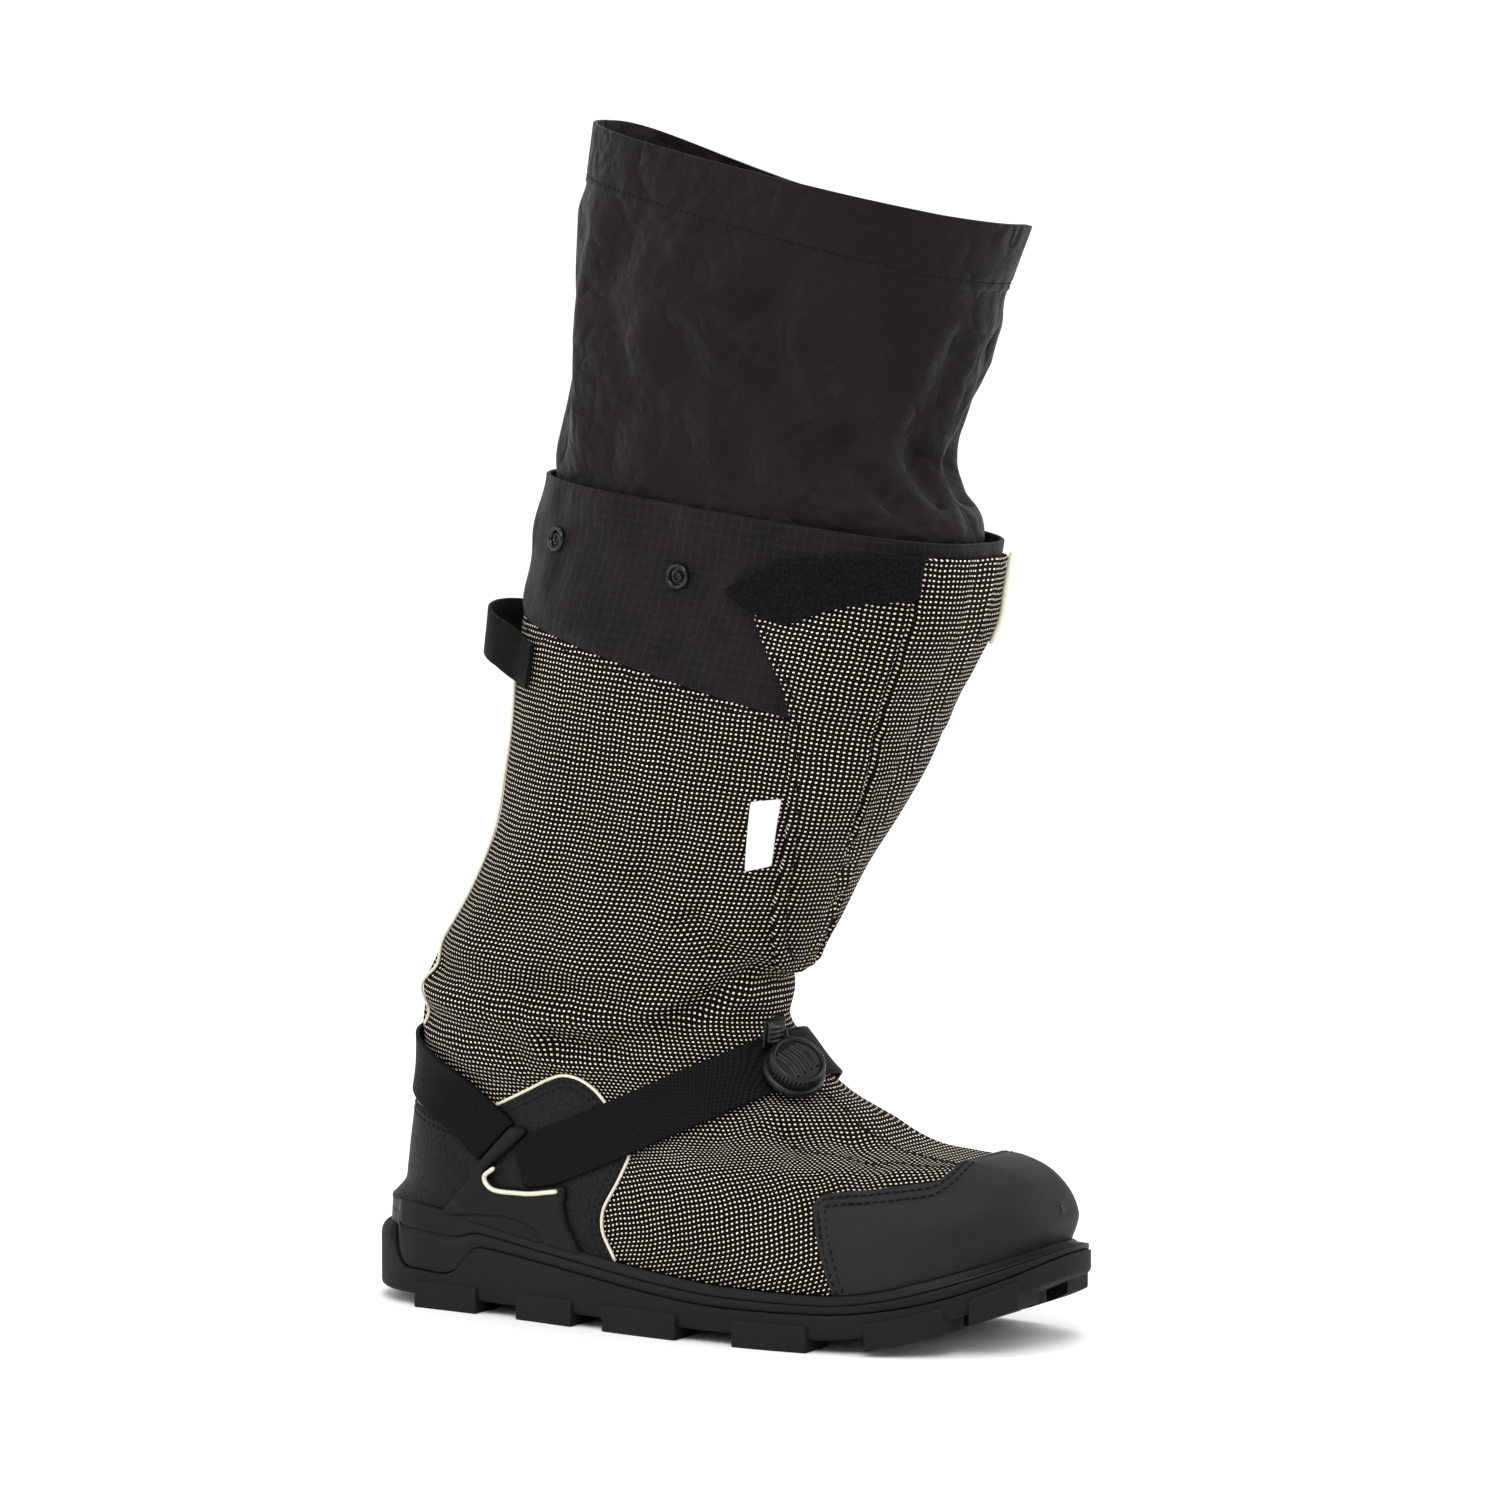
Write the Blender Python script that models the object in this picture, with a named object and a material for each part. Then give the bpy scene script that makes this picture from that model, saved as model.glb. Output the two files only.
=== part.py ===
# A right winter overshoe: lugged rubber sole, dotted cloth upper, rubber caps, straps with a dial,
# a storm collar and a tall gaiter.
# Frame: +X to the toe, +Y to the inner side of the foot, +Z up, in metres.
# The origin is on the floor under the centre of the heel's round end.
from bisect import bisect_right
from math import cos, floor, ceil, pi, radians, sin, sqrt

import bmesh
import bpy
import numpy as np
from mathutils import Matrix, Vector

# Driving sizes of the sole
SOLE_LENGTH = 0.335
BALL_WIDTH = 0.123
HEEL_ROUND = 0.043
TOE_ROUND = 0.088
TOE_SWING = 0.008
TOE_SPRING = 0.026
HEEL_THICKNESS = 0.0437
LUG_DEPTH = 0.0053
LUG_REACH = 0.018
LUG_PROUD = 0.0015
LUG_EMBED = 0.002
SLAB_CHAMFER = 0.0015
SIDE_BLOCK = 0.0110
CENTRE_LUG_WIDTH = 0.020
MIDSOLE_INSET = 0.0010
LIP_INSET = 0.0042
BUMPER_INSET = 0.0053
BUMPER_HEIGHT = 0.0054
EDGE_INSET = 0.0008
REAR_LEAN = 0.0005
FEATHER_INSET = 0.0065
INSOLE_THICKNESS = 0.0030
INSOLE_SIDE_CLEAR = 0.0070

# Driving sizes of the upper
UPPER_HEIGHT = 0.320
UPPER_WALL = 0.0020
SHAFT_WIDTH = 0.116
GAITER_HEIGHT = 0.170
GAITER_WIDTH = 0.114
GAITER_WALL = 0.0010
HEM_WALL = 0.0018
COLLAR_WALL = 0.0020
FLAP_WALL = 0.0025
TAB_WALL = 0.0014
CAP_WALL = 0.0016
COUNTER_WALL = 0.0014
LABEL_WALL = 0.0008

# Driving sizes of the straps, the dial and the small parts
WEBBING_WIDTH = 0.025
WEBBING_WALL = 0.0016
ANCHOR_WALL = 0.0024
DIAL_RADIUS = 0.0125
DIAL_DEPTH = 0.0062
HOUSING_RADIUS = 0.0138
HOUSING_DEPTH = 0.0040
LADDER_WIDTH = 0.009
LADDER_WALL = 0.0012
LADDER_RISE = 0.010
LADDER_BEND = 0.0025
LADDER_LEAN = 0.35
SNAP_RADIUS = 0.0055
SNAP_DEPTH = 0.0022
SNAP_CLEAR = 0.0005
LOOP_REACH = 0.026
LOOP_LIFT = 0.0004
LOOP_RAISE = 0.010
LOOP_NARROW = 0.8
LOOP_TUCK = 1.08
PIPING_RADIUS = 0.0007
PIPING_LIFT = 0.0003
TRIM_RADIUS = 0.0010
EDGE_CLEAR = 0.0012
GAP = 0.0003
SEAT_GAP = 0.0007

# Shape of the loops round the shoe
AROUND = 36
END_SHIFT = 0.2
TOE_POWER = 2.2
SWING_POWER = 1.5
SPRING_POWER = 1.85
WIDE_AT = 0.42
GAITER_POWER = 2 / 2.35
SWELL = 0.0015
SWING_START = 0.576
SPRING_START = 0.725
HEEL_CENTRE = 0.12836
BUMPER_FROM = 0.055
BUMPER_TO = 0.085

# The sole's plan: place along the sole, then half widths in shares of the ball's width
PLAN = [
    ("along", "outer", "inner"),
    (0.000, 0.350, 0.350),
    (0.128, 0.354, 0.354),
    (0.212, 0.374, 0.358),
    (0.307, 0.407, 0.346),
    (0.397, 0.447, 0.341),
    (0.487, 0.480, 0.358),
    (0.576, 0.500, 0.390),
    (0.666, 0.508, 0.423),
    (0.740, 0.500, 0.447),
    (0.830, 0.488, 0.455),
    (0.904, 0.472, 0.455),
    (1.000, 0.455, 0.455),
]

# The sole's side: heights over the ground line, in shares of the thickness at the heel
SIDE = [
    ("along", "mid", "top"),
    (0.000, 0.645, 1.000),
    (0.055, 0.645, 0.995),
    (0.086, 0.410, 0.988),
    (0.110, 0.372, 0.982),
    (0.170, 0.384, 0.925),
    (0.212, 0.654, 0.875),
    (0.307, 0.584, 0.762),
    (0.397, 0.505, 0.675),
    (0.487, 0.421, 0.590),
    (0.576, 0.362, 0.526),
    (0.666, 0.355, 0.503),
    (0.740, 0.362, 0.500),
    (0.806, 0.355, 0.503),
    (0.887, 0.330, 0.515),
    (0.955, 0.325, 0.490),
    (1.000, 0.343, 0.457),
]

# The lugs along each edge: where each starts and ends along the sole
LUGS = [
    ("start", "end"),
    (0.112, 0.212),
    (0.278, 0.370),
    (0.421, 0.537),
    (0.621, 0.725),
    (0.801, 0.892),
    (0.919, 0.966),
]

# The lugs on the middle line stand between these places along the sole, and are longer at each end
CENTRE_LUGS_FROM = 0.07
CENTRE_LUGS_TO = 0.90
CENTRE_LUG_LONGER = 0.01

# The midsole's step below its lip: shares of its height, and shares of the lip's inset
STEP_AT = 0.62
STEP_RISE = 0.08
STEP_INSET = 0.60
LIP_AT = 0.92
LIP_SIDE_INSET = 0.75

# Rings of the upper and the collar above it, in side view. Places along the sole are shares of its
# length from the heel's round centre, heights are shares of the upper's height over the heel seat.
# follow: how much of the seat's curve the ring keeps. shaft: how far the ring has left the foot's
# section for the shaft's oval. width: half width of that oval in shares of the shaft's width.
RINGS = [
    ("back_x", "back_z", "front_x", "front_z", "follow", "shaft", "width", "swell"),
    (-0.1090, 0.000, 0.8420, 0.000, 1.00, 0.00, 0.34, 0.0),
    (-0.0880, 0.022, 0.8450, 0.030, 0.78, 0.00, 0.34, 0.7),
    (-0.0830, 0.047, 0.8350, 0.060, 0.60, 0.00, 0.34, 1.0),
    (-0.0800, 0.072, 0.8150, 0.086, 0.45, 0.00, 0.34, 0.9),
    (-0.0770, 0.097, 0.7710, 0.106, 0.30, 0.00, 0.35, 0.6),
    (-0.0740, 0.122, 0.7100, 0.112, 0.18, 0.00, 0.36, 0.3),
    (-0.0700, 0.150, 0.6420, 0.124, 0.08, 0.10, 0.37, 0.0),
    (-0.0665, 0.178, 0.5850, 0.158, 0.00, 0.35, 0.38, 0.0),
    (-0.0640, 0.209, 0.5300, 0.188, 0.00, 0.70, 0.40, 0.0),
    (-0.0615, 0.247, 0.4890, 0.228, 0.00, 1.00, 0.41, 0.0),
    (-0.0530, 0.294, 0.4550, 0.278, 0.00, 1.00, 0.42, 0.0),
    (-0.0200, 0.366, 0.4720, 0.332, 0.00, 1.00, 0.43, 0.0),
    (0.0200, 0.437, 0.5100, 0.394, 0.00, 1.00, 0.44, 0.0),
    (0.0570, 0.519, 0.5490, 0.478, 0.00, 1.00, 0.455, 0.0),
    (0.0775, 0.619, 0.5890, 0.545, 0.00, 1.00, 0.470, 0.0),
    (0.0880, 0.722, 0.6240, 0.606, 0.00, 1.00, 0.480, 0.0),
    (0.0985, 0.812, 0.6480, 0.656, 0.00, 1.00, 0.490, 0.0),
    (0.1100, 0.881, 0.6900, 0.738, 0.00, 1.00, 0.500, 0.0),
    (0.1240, 0.944, 0.7280, 0.822, 0.00, 1.00, 0.505, 0.0),
    (0.1340, 1.000, 0.7440, 0.911, 0.00, 1.00, 0.505, 0.0),
]
SHAFT_TOP = 16
COLLAR_TOP = 19
GAITER_SEAM = 17
SEAM_STEP = 0.02

# Rings of the gaiter: places as above, heights in shares of its height over the collar's back edge
GAITER_RINGS = [
    ("back_x", "back_z", "front_x", "front_z", "width"),
    (0.1400, -0.240, 0.6650, -0.420, 0.465),
    (0.1490, -0.030, 0.7280, -0.165, 0.484),
    (0.1580, 0.110, 0.6900, -0.050, 0.490),
    (0.1690, 0.250, 0.6740, 0.030, 0.500),
    (0.1750, 0.380, 0.6930, 0.120, 0.510),
    (0.1820, 0.520, 0.7160, 0.235, 0.515),
    (0.1920, 0.640, 0.7380, 0.355, 0.515),
    (0.2010, 0.735, 0.7560, 0.455, 0.510),
    (0.2100, 0.880, 0.7900, 0.612, 0.505),
]
RIM_SAG = 0.014

# Outlines of the overlays in side view: places in shares of the sole's length from the heel's round
# centre, heights in shares of the upper's height over the heel seat
TOE_CAP_EDGE = [(0.640, -0.200), (0.622, -0.066), (0.598, 0.009), (0.586, 0.053), (0.596, 0.064),
                (0.661, 0.071), (0.727, 0.081), (0.738, 0.092), (0.743, 0.150), (0.743, 0.250),
                (1.000, 0.250), (1.000, -0.200)]
COUNTER_EDGE = [(-0.200, -0.200), (-0.200, 0.160), (-0.100, 0.148), (-0.006, 0.124), (0.035, 0.113),
                (0.104, 0.142), (0.156, 0.167), (0.190, 0.185), (0.216, 0.194), (0.240, 0.190),
                (0.262, 0.176), (0.296, 0.140), (0.323, 0.100), (0.306, 0.063), (0.281, 0.022),
                (0.279, -0.008), (0.301, -0.049), (0.340, -0.200)]
WING_EDGE = [(0.012, -0.200), (0.018, -0.008), (0.043, 0.017), (0.070, 0.045), (0.091, 0.075),
             (0.133, 0.118), (0.148, 0.122), (0.163, 0.114), (0.110, 0.068), (0.095, 0.054),
             (0.108, 0.037), (0.160, 0.037), (0.228, 0.048), (0.224, 0.017), (0.233, -0.010),
             (0.251, -0.042), (0.300, -0.200)]
FLAP_OUTER_EDGE = [(0.466, 0.335), (0.479, 0.372), (0.498, 0.442), (0.518, 0.497), (0.537, 0.552),
                   (0.549, 0.633), (0.555, 0.691), (0.549, 0.729), (0.535, 0.765), (0.517, 0.821),
                   (0.508, 0.846), (0.545, 0.880), (0.590, 0.895), (1.0, 0.895), (1.0, 0.335)]
FLAP_INNER_EDGE = [(0.466, 0.335), (0.479, 0.372), (0.498, 0.442), (0.524, 0.560), (0.552, 0.730),
                   (0.575, 0.895), (1.0, 0.895), (1.0, 0.335)]
TAB_EDGE = [(0.476, 0.853), (0.544, 0.888), (0.590, 0.898), (0.720, 0.899), (0.714, 0.884),
            (0.710, 0.842), (0.658, 0.839), (0.609, 0.828), (0.564, 0.809), (0.524, 0.820),
            (0.494, 0.836)]
SLOT_LINE = [(0.113, 0.062), (0.097, 0.048), (0.112, 0.033), (0.160, 0.032), (0.218, 0.040)]
LABEL_EDGE = [(0.475, 0.480), (0.506, 0.488), (0.534, 0.578), (0.496, 0.574)]

# Corner radii of those outlines, and the rings that each piece of wall runs between before it is cut
OVERLAY_CORNER = 0.004
WING_CORNER = 0.002
LABEL_CORNER = 0.0008
CAP_LEVELS = [0.12, 1, 2, 3, 4, 5, 6]
COUNTER_LEVELS = CAP_LEVELS + [7, 8]
FLAP_LEVELS = range(10, 20)
TAB_LEVELS = range(16, 20)
LABEL_LEVELS = range(11, 16)

# The instep strap's middle line and the heel strap's, in side view, from the anchor outwards
INSTEP_LINE = [(0.150, 0.065), (0.276, 0.117), (0.412, 0.181), (0.492, 0.224), (0.580, 0.272)]
HEEL_LINE = [(0.122, 0.086), (0.100, 0.104), (0.038, 0.147), (-0.052, 0.190), (-0.150, 0.230)]
STRAP_CLEAR = 0.0008
STRAP_LEVELS = range(2, 12)

DIAL_AROUND = 0.456
DIAL_LEVEL = 8.25
SNAP_PLACES = [(0.120, 17.79), (0.244, 17.77)]
LOOP_LEVEL = 15.4
FLAP_TRIM_TURN = 19 / AROUND
BACK_PIPING_TURN = 2 / AROUND
BACK_PIPING_LEVELS = range(9, 16)

COLOURS = {
    "rubber": (0.020, 0.020, 0.022, 1.0),
    "moulded": (0.028, 0.028, 0.031, 1.0),
    "dotted": (0.110, 0.105, 0.080, 1.0),
    "nylon": (0.022, 0.019, 0.018, 1.0),
    "ripstop": (0.034, 0.029, 0.036, 1.0),
    "webbing": (0.010, 0.010, 0.011, 1.0),
    "cream": (0.560, 0.560, 0.440, 1.0),
    "white": (0.800, 0.800, 0.800, 1.0),
    "plastic": (0.040, 0.040, 0.044, 1.0),
}


def column(table, name):
    """One named column of a table."""
    return [float(row[table[0].index(name)]) for row in table[1:]]


def curve(xs, ys):
    """Smooth curve through the points (xs, ys): cubic pieces, level where the points turn back."""
    slopes = [(ys[k + 1] - ys[k]) / (xs[k + 1] - xs[k]) for k in range(len(xs) - 1)]
    tangents = [slopes[0]]
    for before, after in zip(slopes[:-1], slopes[1:]):
        tangents.append(0.0 if before * after <= 0 else (before + after) / 2)
    tangents.append(slopes[-1])

    def read(x):
        x = min(max(float(x), xs[0]), xs[-1])
        k = min(max(bisect_right(xs, x) - 1, 0), len(slopes) - 1)
        step = xs[k + 1] - xs[k]
        t = (x - xs[k]) / step
        return (ys[k] * (1 + 2 * t) * (1 - t) ** 2 + tangents[k] * step * t * (1 - t) ** 2
                + ys[k + 1] * t * t * (3 - 2 * t) - tangents[k + 1] * step * t * t * (1 - t))

    return read


def table_curves(table, place=None):
    """A curve for each column of a table, over its place column or over its row numbers."""
    rows = [float(k) for k in range(len(table) - 1)]
    places = column(table, place) if place else rows
    return {name: curve(places, column(table, name)) for name in table[0] if name != place}


def clip(value, low=0.0, high=1.0):
    return min(max(value, low), high)


def ease(x, low, high):
    """Rises smoothly from 0 at low to 1 at high."""
    t = clip((x - low) / (high - low))
    return t * t * (3 - 2 * t)


# Places along the sole
HEEL_END = -HEEL_ROUND
TOE_END = HEEL_END + SOLE_LENGTH
PLAN_CURVES = table_curves(PLAN, "along")
SIDE_CURVES = table_curves(SIDE, "along")


def along(x):
    """Place along the sole as a share of its length, 0 at the heel end."""
    return (x - HEEL_END) / SOLE_LENGTH


def spot(share):
    """Place in side view of a table's share, which starts from the heel's round centre."""
    return HEEL_END + (HEEL_CENTRE + share) * SOLE_LENGTH


def round_heel(x, inset):
    """Share of the half width that the round heel leaves at x."""
    left = clip((x - HEEL_END - inset) / (HEEL_ROUND - inset))
    return sqrt(1 - (1 - left) ** 2)


def round_toe(x, inset, front=None):
    """Share of the half width that the round toe leaves at x, where the outline ends at front."""
    front = TOE_END - inset if front is None else front
    left = clip((front - x) / (TOE_ROUND - inset))
    return (1 - (1 - left) ** TOE_POWER) ** (1 / TOE_POWER)


def half_width(x, side, inset):
    """Flat half width of the sole at x, before its round ends. side is -1 outer, 1 inner."""
    return BALL_WIDTH * PLAN_CURVES["outer" if side < 0 else "inner"](along(x)) - inset


def middle(x):
    """The sole's middle line swings to the inner side at the toe."""
    return TOE_SWING * clip((along(x) - SWING_START) / (1 - SWING_START)) ** SWING_POWER


def ground(x):
    """Height of the tread's face: flat under heel and ball, then the toe spring."""
    return TOE_SPRING * clip((along(x) - SPRING_START) / (1 - SPRING_START)) ** SPRING_POWER


def side_line(x, name):
    """Height of a line along the sole's side."""
    return ground(x) + HEEL_THICKNESS * SIDE_CURVES[name](along(x))


def station(turn):
    """Share of the way from back to front, and the side, at a turn round a loop from the heel."""
    turn = turn % 1.0
    half = 2 * min(turn, 1 - turn)
    share = (1 - END_SHIFT) * (1 - cos(pi * half)) / 2 + END_SHIFT * half
    return share, half, (-1.0 if turn < 0.5 else 1.0)


def bumper(share):
    """1 round the back of the heel, where the outsole climbs into a bumper, and 0 further on."""
    return 1 - ease(share, BUMPER_FROM, BUMPER_TO)


def sole_loop(side_inset, height, rear_inset=None, count=AROUND):
    """Loop of points around the sole at an inset from its outline; height(x) gives z."""
    loop = []
    for k in range(count):
        share, _, side = station(k / count)
        inset = side_inset
        if rear_inset is not None:
            inset += bumper(share) * (rear_inset - side_inset)
        x = HEEL_END + share * SOLE_LENGTH
        x = clip(x, HEEL_END + inset * (1 + share), TOE_END - inset * (2 - share))
        y = middle(x) + side * half_width(x, side, inset) * round_heel(x, inset) * round_toe(x, inset)
        loop.append((x, y, height(x)))
    return np.array(loop)


# The upper's surface
def seat(x):
    """Height of the line where the upper meets the midsole."""
    return side_line(x, "top") + SEAT_GAP


RING_CURVES = table_curves(RINGS)
FEATHER_BACK = spot(RING_CURVES["back_x"](0))
FEATHER_FRONT = spot(RING_CURVES["front_x"](0))
SEAT_HEIGHT = seat(FEATHER_BACK)
FOOT_RINGS = range(9, 0, -1)
INSTEP = curve([spot(RING_CURVES["front_x"](k)) for k in FOOT_RINGS],
               [SEAT_HEIGHT + UPPER_HEIGHT * RING_CURVES["front_z"](k) for k in FOOT_RINGS])
INSTEP_START = spot(RING_CURVES["front_x"](9))
SHIN_SLOPE = 1.6


def instep_height(x):
    """Height of the upper's top line over the foot, from the rings' front points."""
    return INSTEP(x) + SHIN_SLOPE * max(INSTEP_START - x, 0.0)


def upper_point(turn, level):
    """Point of the upper's outer face. turn runs from the heel over the outer side."""
    share, _, side = station(turn)
    ring = {name: read(level) for name, read in RING_CURVES.items()}
    back_x, front_x = spot(ring["back_x"]), spot(ring["front_x"])
    x = back_x + share * (front_x - back_x)
    z = SEAT_HEIGHT + UPPER_HEIGHT * (ring["back_z"] + share * (ring["front_z"] - ring["back_z"]))
    chord = SEAT_HEIGHT + share * (seat(FEATHER_FRONT) - SEAT_HEIGHT)
    z += ring["follow"] * (seat(x) - chord)
    shaft = SHAFT_WIDTH * ring["width"] * shaft_oval(share, level)
    foot = foot_half_width(x, z, side, level, back_x, front_x, ring["swell"])
    width = foot + ring["shaft"] * (shaft - foot)
    return np.array([x, middle(x) * (1 - ring["shaft"]) + side * width, z])


def shaft_oval(share, level):
    """Share of the shaft's half width: round at the back, blunter at the front further up."""
    if share < WIDE_AT:
        away, power = 1 - share / WIDE_AT, 2.2
    else:
        away, power = (share - WIDE_AT) / (1 - WIDE_AT), 2.2 + 0.9 * ease(level, 11, 15)
    return (1 - min(away, 1.0) ** power) ** (1 / power)


def foot_half_width(x, z, side, level, back_x, front_x, swell):
    """Half width of the foot's section at a height: a round heel, a full ball and a boxy toe."""
    inset = FEATHER_INSET - SWELL * swell
    heel = 1 - clip((x - back_x) / (HEEL_ROUND - inset))
    front = front_x + min(level, 1.0) * max(TOE_END - inset - front_x, 0.0)
    flat = half_width(x, side, inset) * sqrt(1 - heel ** 2) * round_toe(x, inset, front)
    low = seat(x)
    rise = clip((z - low) / max(instep_height(x) - low, 0.001))
    power = 2.1 + 0.8 * ease(along(x), 0.60, 0.90)
    return flat * (1 + min(level, 1.0) * (sqrt(1 - rise ** power) - 1))


def upper_normal(turn, level):
    """Outward direction of the upper's face, level where it stands on the midsole."""
    step = 0.004
    up_step = 0.06
    around = upper_point(turn + step, level) - upper_point(turn - step, level)
    low = max(level - up_step, 0.0)
    high = min(level + up_step, COLLAR_TOP)
    upward = upper_point(turn, high) - upper_point(turn, low)
    outward = np.cross(around, upward)
    outward[2] *= min(level, 1.0)
    return outward / np.linalg.norm(outward)


def upper_at(turn, level, offset):
    """Point at an offset outwards from the upper's face."""
    return upper_point(turn, level) + offset * upper_normal(turn, level)


def facet_at(turn, level, offset):
    """As upper_at, but on the flat facets between two of the upper's rings."""
    low = floor(level)
    if low == level:
        return upper_at(turn, level, offset)
    below, above = upper_at(turn, low, offset), upper_at(turn, low + 1, offset)
    return (low + 1 - level) * below + (level - low) * above


# The gaiter's surface
GAITER_CURVES = table_curves(GAITER_RINGS)
GAITER_TOP = len(GAITER_RINGS) - 2
COLLAR_HEIGHT = SEAT_HEIGHT + UPPER_HEIGHT


def gaiter_at(turn, level, offset):
    """Point at an offset outwards from the gaiter's face. Its lowest ring is sewn inside the collar."""
    if level == 0:
        return upper_at(turn, GAITER_SEAM, offset - COLLAR_WALL - GAP)
    _, half, side = station(turn)
    angle = pi * half
    ring = {name: read(level) for name, read in GAITER_CURVES.items()}
    back = np.array([spot(ring["back_x"]), 0.0, COLLAR_HEIGHT + GAITER_HEIGHT * ring["back_z"]])
    front = np.array([spot(ring["front_x"]), 0.0, COLLAR_HEIGHT + GAITER_HEIGHT * ring["front_z"]])
    depth = np.linalg.norm(front - back)
    ahead = -np.sign(cos(angle)) * abs(cos(angle)) ** GAITER_POWER * (depth / 2 + offset)
    aside = side * abs(sin(angle)) ** GAITER_POWER * (GAITER_WIDTH * ring["width"] + offset)
    sag = RIM_SAG * sin(angle) ** 2 * ease(level, GAITER_TOP - 3, GAITER_TOP) if side > 0 else 0.0
    return (back + front) / 2 + ahead * (front - back) / depth + np.array([0.0, aside, -sag])


# Building blocks
PARTS = bpy.data.collections.new("winter_overshoe")
CUTTERS = bpy.data.collections.new("cutters")


def clear_scene():
    for thing in list(bpy.data.objects):
        bpy.data.objects.remove(thing, do_unlink=True)
    bpy.context.scene.collection.children.link(PARTS)
    bpy.context.scene.collection.children.link(CUTTERS)


def make_material(name, roughness, metallic=0.0):
    material = bpy.data.materials.new(name)
    material.use_nodes = True
    shader = material.node_tree.nodes["Principled BSDF"]
    shader.inputs["Base Color"].default_value = COLOURS[name]
    shader.inputs["Roughness"].default_value = roughness
    shader.inputs["Metallic"].default_value = metallic
    material.diffuse_color = COLOURS[name]
    return material


def add_object(name, mesh, material, collection=None):
    thing = bpy.data.objects.new(name, mesh)
    (collection or PARTS).objects.link(thing)
    if material is not None:
        mesh.materials.append(material)
    return thing


def mesh_from(name, points, faces):
    """Mesh from points and faces, with its faces turned outwards."""
    mesh = bpy.data.meshes.new(name)
    mesh.from_pydata([tuple(p) for p in points], [], faces)
    work = bmesh.new()
    work.from_mesh(mesh)
    bmesh.ops.recalc_face_normals(work, faces=work.faces)
    work.to_mesh(mesh)
    work.free()
    return mesh


def loft(loops, strips=False):
    """Faces between successive loops of equal length, and the two ends, in strips where they curve."""
    count = len(loops[0])
    points = np.concatenate(loops)
    faces = []
    for row in range(len(loops) - 1):
        for i in range(count):
            j = (i + 1) % count
            low, high = row * count, (row + 1) * count
            faces.append((low + i, low + j, high + j, high + i))
    for base in (0, (len(loops) - 1) * count):
        if strips:
            faces.append((base, base + 1, base + count - 1))
            for i in range(1, count // 2 - 1):
                faces.append((base + i, base + i + 1, base + count - i - 1, base + count - i))
            faces.append((base + count // 2 - 1, base + count // 2, base + count // 2 + 1))
        else:
            faces.append(tuple(range(base, base + count)))
    return points, faces


def split(near, far):
    """Two triangles for each cell of a grid, all cut along the same diagonal."""
    (a, b), (d, c) = near, far
    return [(a, b, c), (a, c, d)]


def sheet_points(surface, turns, levels, offset):
    """Grid of points at an offset from a surface; the offset may vary over it."""
    return [surface(t, v, offset(t, v) if callable(offset) else offset) for v in levels for t in turns]


def tube(surface, levels, inner, outer, count=AROUND):
    """Closed ring of wall between two offsets of a surface that runs all the way round."""
    turns = [k / count for k in range(count)]
    rows = len(levels)
    points = sheet_points(surface, turns, levels, outer) + sheet_points(surface, turns, levels, inner)
    shift = rows * count
    faces = []
    for i in range(count):
        j = (i + 1) % count
        for row in range(rows - 1):
            low, high = row * count, (row + 1) * count
            cells = split((low + i, low + j), (high + i, high + j))
            faces += cells + [tuple(k + shift for k in face) for face in cells]
        top = (rows - 1) * count
        faces.append((i, j, j + shift, i + shift))
        faces.append((top + i, top + j, top + j + shift, top + i + shift))
    return points, faces


def patch(surface, turns, levels, inner, outer):
    """Closed piece of wall between two offsets of a surface, over part of the way round."""
    columns, rows = len(turns), len(levels)
    points = sheet_points(surface, turns, levels, inner) + sheet_points(surface, turns, levels, outer)
    shift = columns * rows
    faces = []
    for low in range(0, (rows - 1) * columns, columns):
        for k in range(low, low + columns - 1):
            cells = split((k, k + 1), (k + columns, k + columns + 1))
            faces += cells + [tuple(q + shift for q in face) for face in cells]
    rim = list(range(columns)) + [r * columns + columns - 1 for r in range(1, rows)]
    rim += [(rows - 1) * columns + c for c in range(columns - 2, -1, -1)]
    rim += [r * columns for r in range(rows - 2, 0, -1)]
    for a, b in zip(rim, rim[1:] + rim[:1]):
        faces.append((a, b, b + shift, a + shift))
    return points, faces


def rounded(corners, radius, steps=2):
    """Outline with its corners cut to arcs of at most this radius."""
    corners = np.asarray(corners, float)
    points = []
    for k in range(len(corners)):
        here, before, after = corners[k], corners[k - 1], corners[(k + 1) % len(corners)]
        to_before, to_after = before - here, after - here
        room = min(np.linalg.norm(to_before), np.linalg.norm(to_after)) * 0.45
        cut = min(radius, room)
        start = here + to_before / np.linalg.norm(to_before) * cut
        end = here + to_after / np.linalg.norm(to_after) * cut
        for s in np.linspace(0, 1, steps + 1):
            points.append(start * (1 - s) ** 2 + 2 * here * s * (1 - s) + end * s * s)
    return np.array(points)


def side_view(shares):
    """Outline in shares of the sole's length and the upper's height, in metres."""
    return np.array([(spot(x), SEAT_HEIGHT + z * UPPER_HEIGHT) for x, z in shares])


SIDE_REACH = 1.0
MIDDLE_OVERLAP = 0.004


def prism(name, outline, y_from, y_to):
    """Cutter: a side-view outline drawn out along Y."""
    near = [(x, y_from, z) for x, z in outline]
    far = [(x, y_to, z) for x, z in outline]
    points, faces = loft([np.array(near), np.array(far)])
    thing = add_object(name, mesh_from(name, points, faces), None, CUTTERS)
    thing.hide_render = True
    thing.display_type = "WIRE"
    return thing


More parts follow.
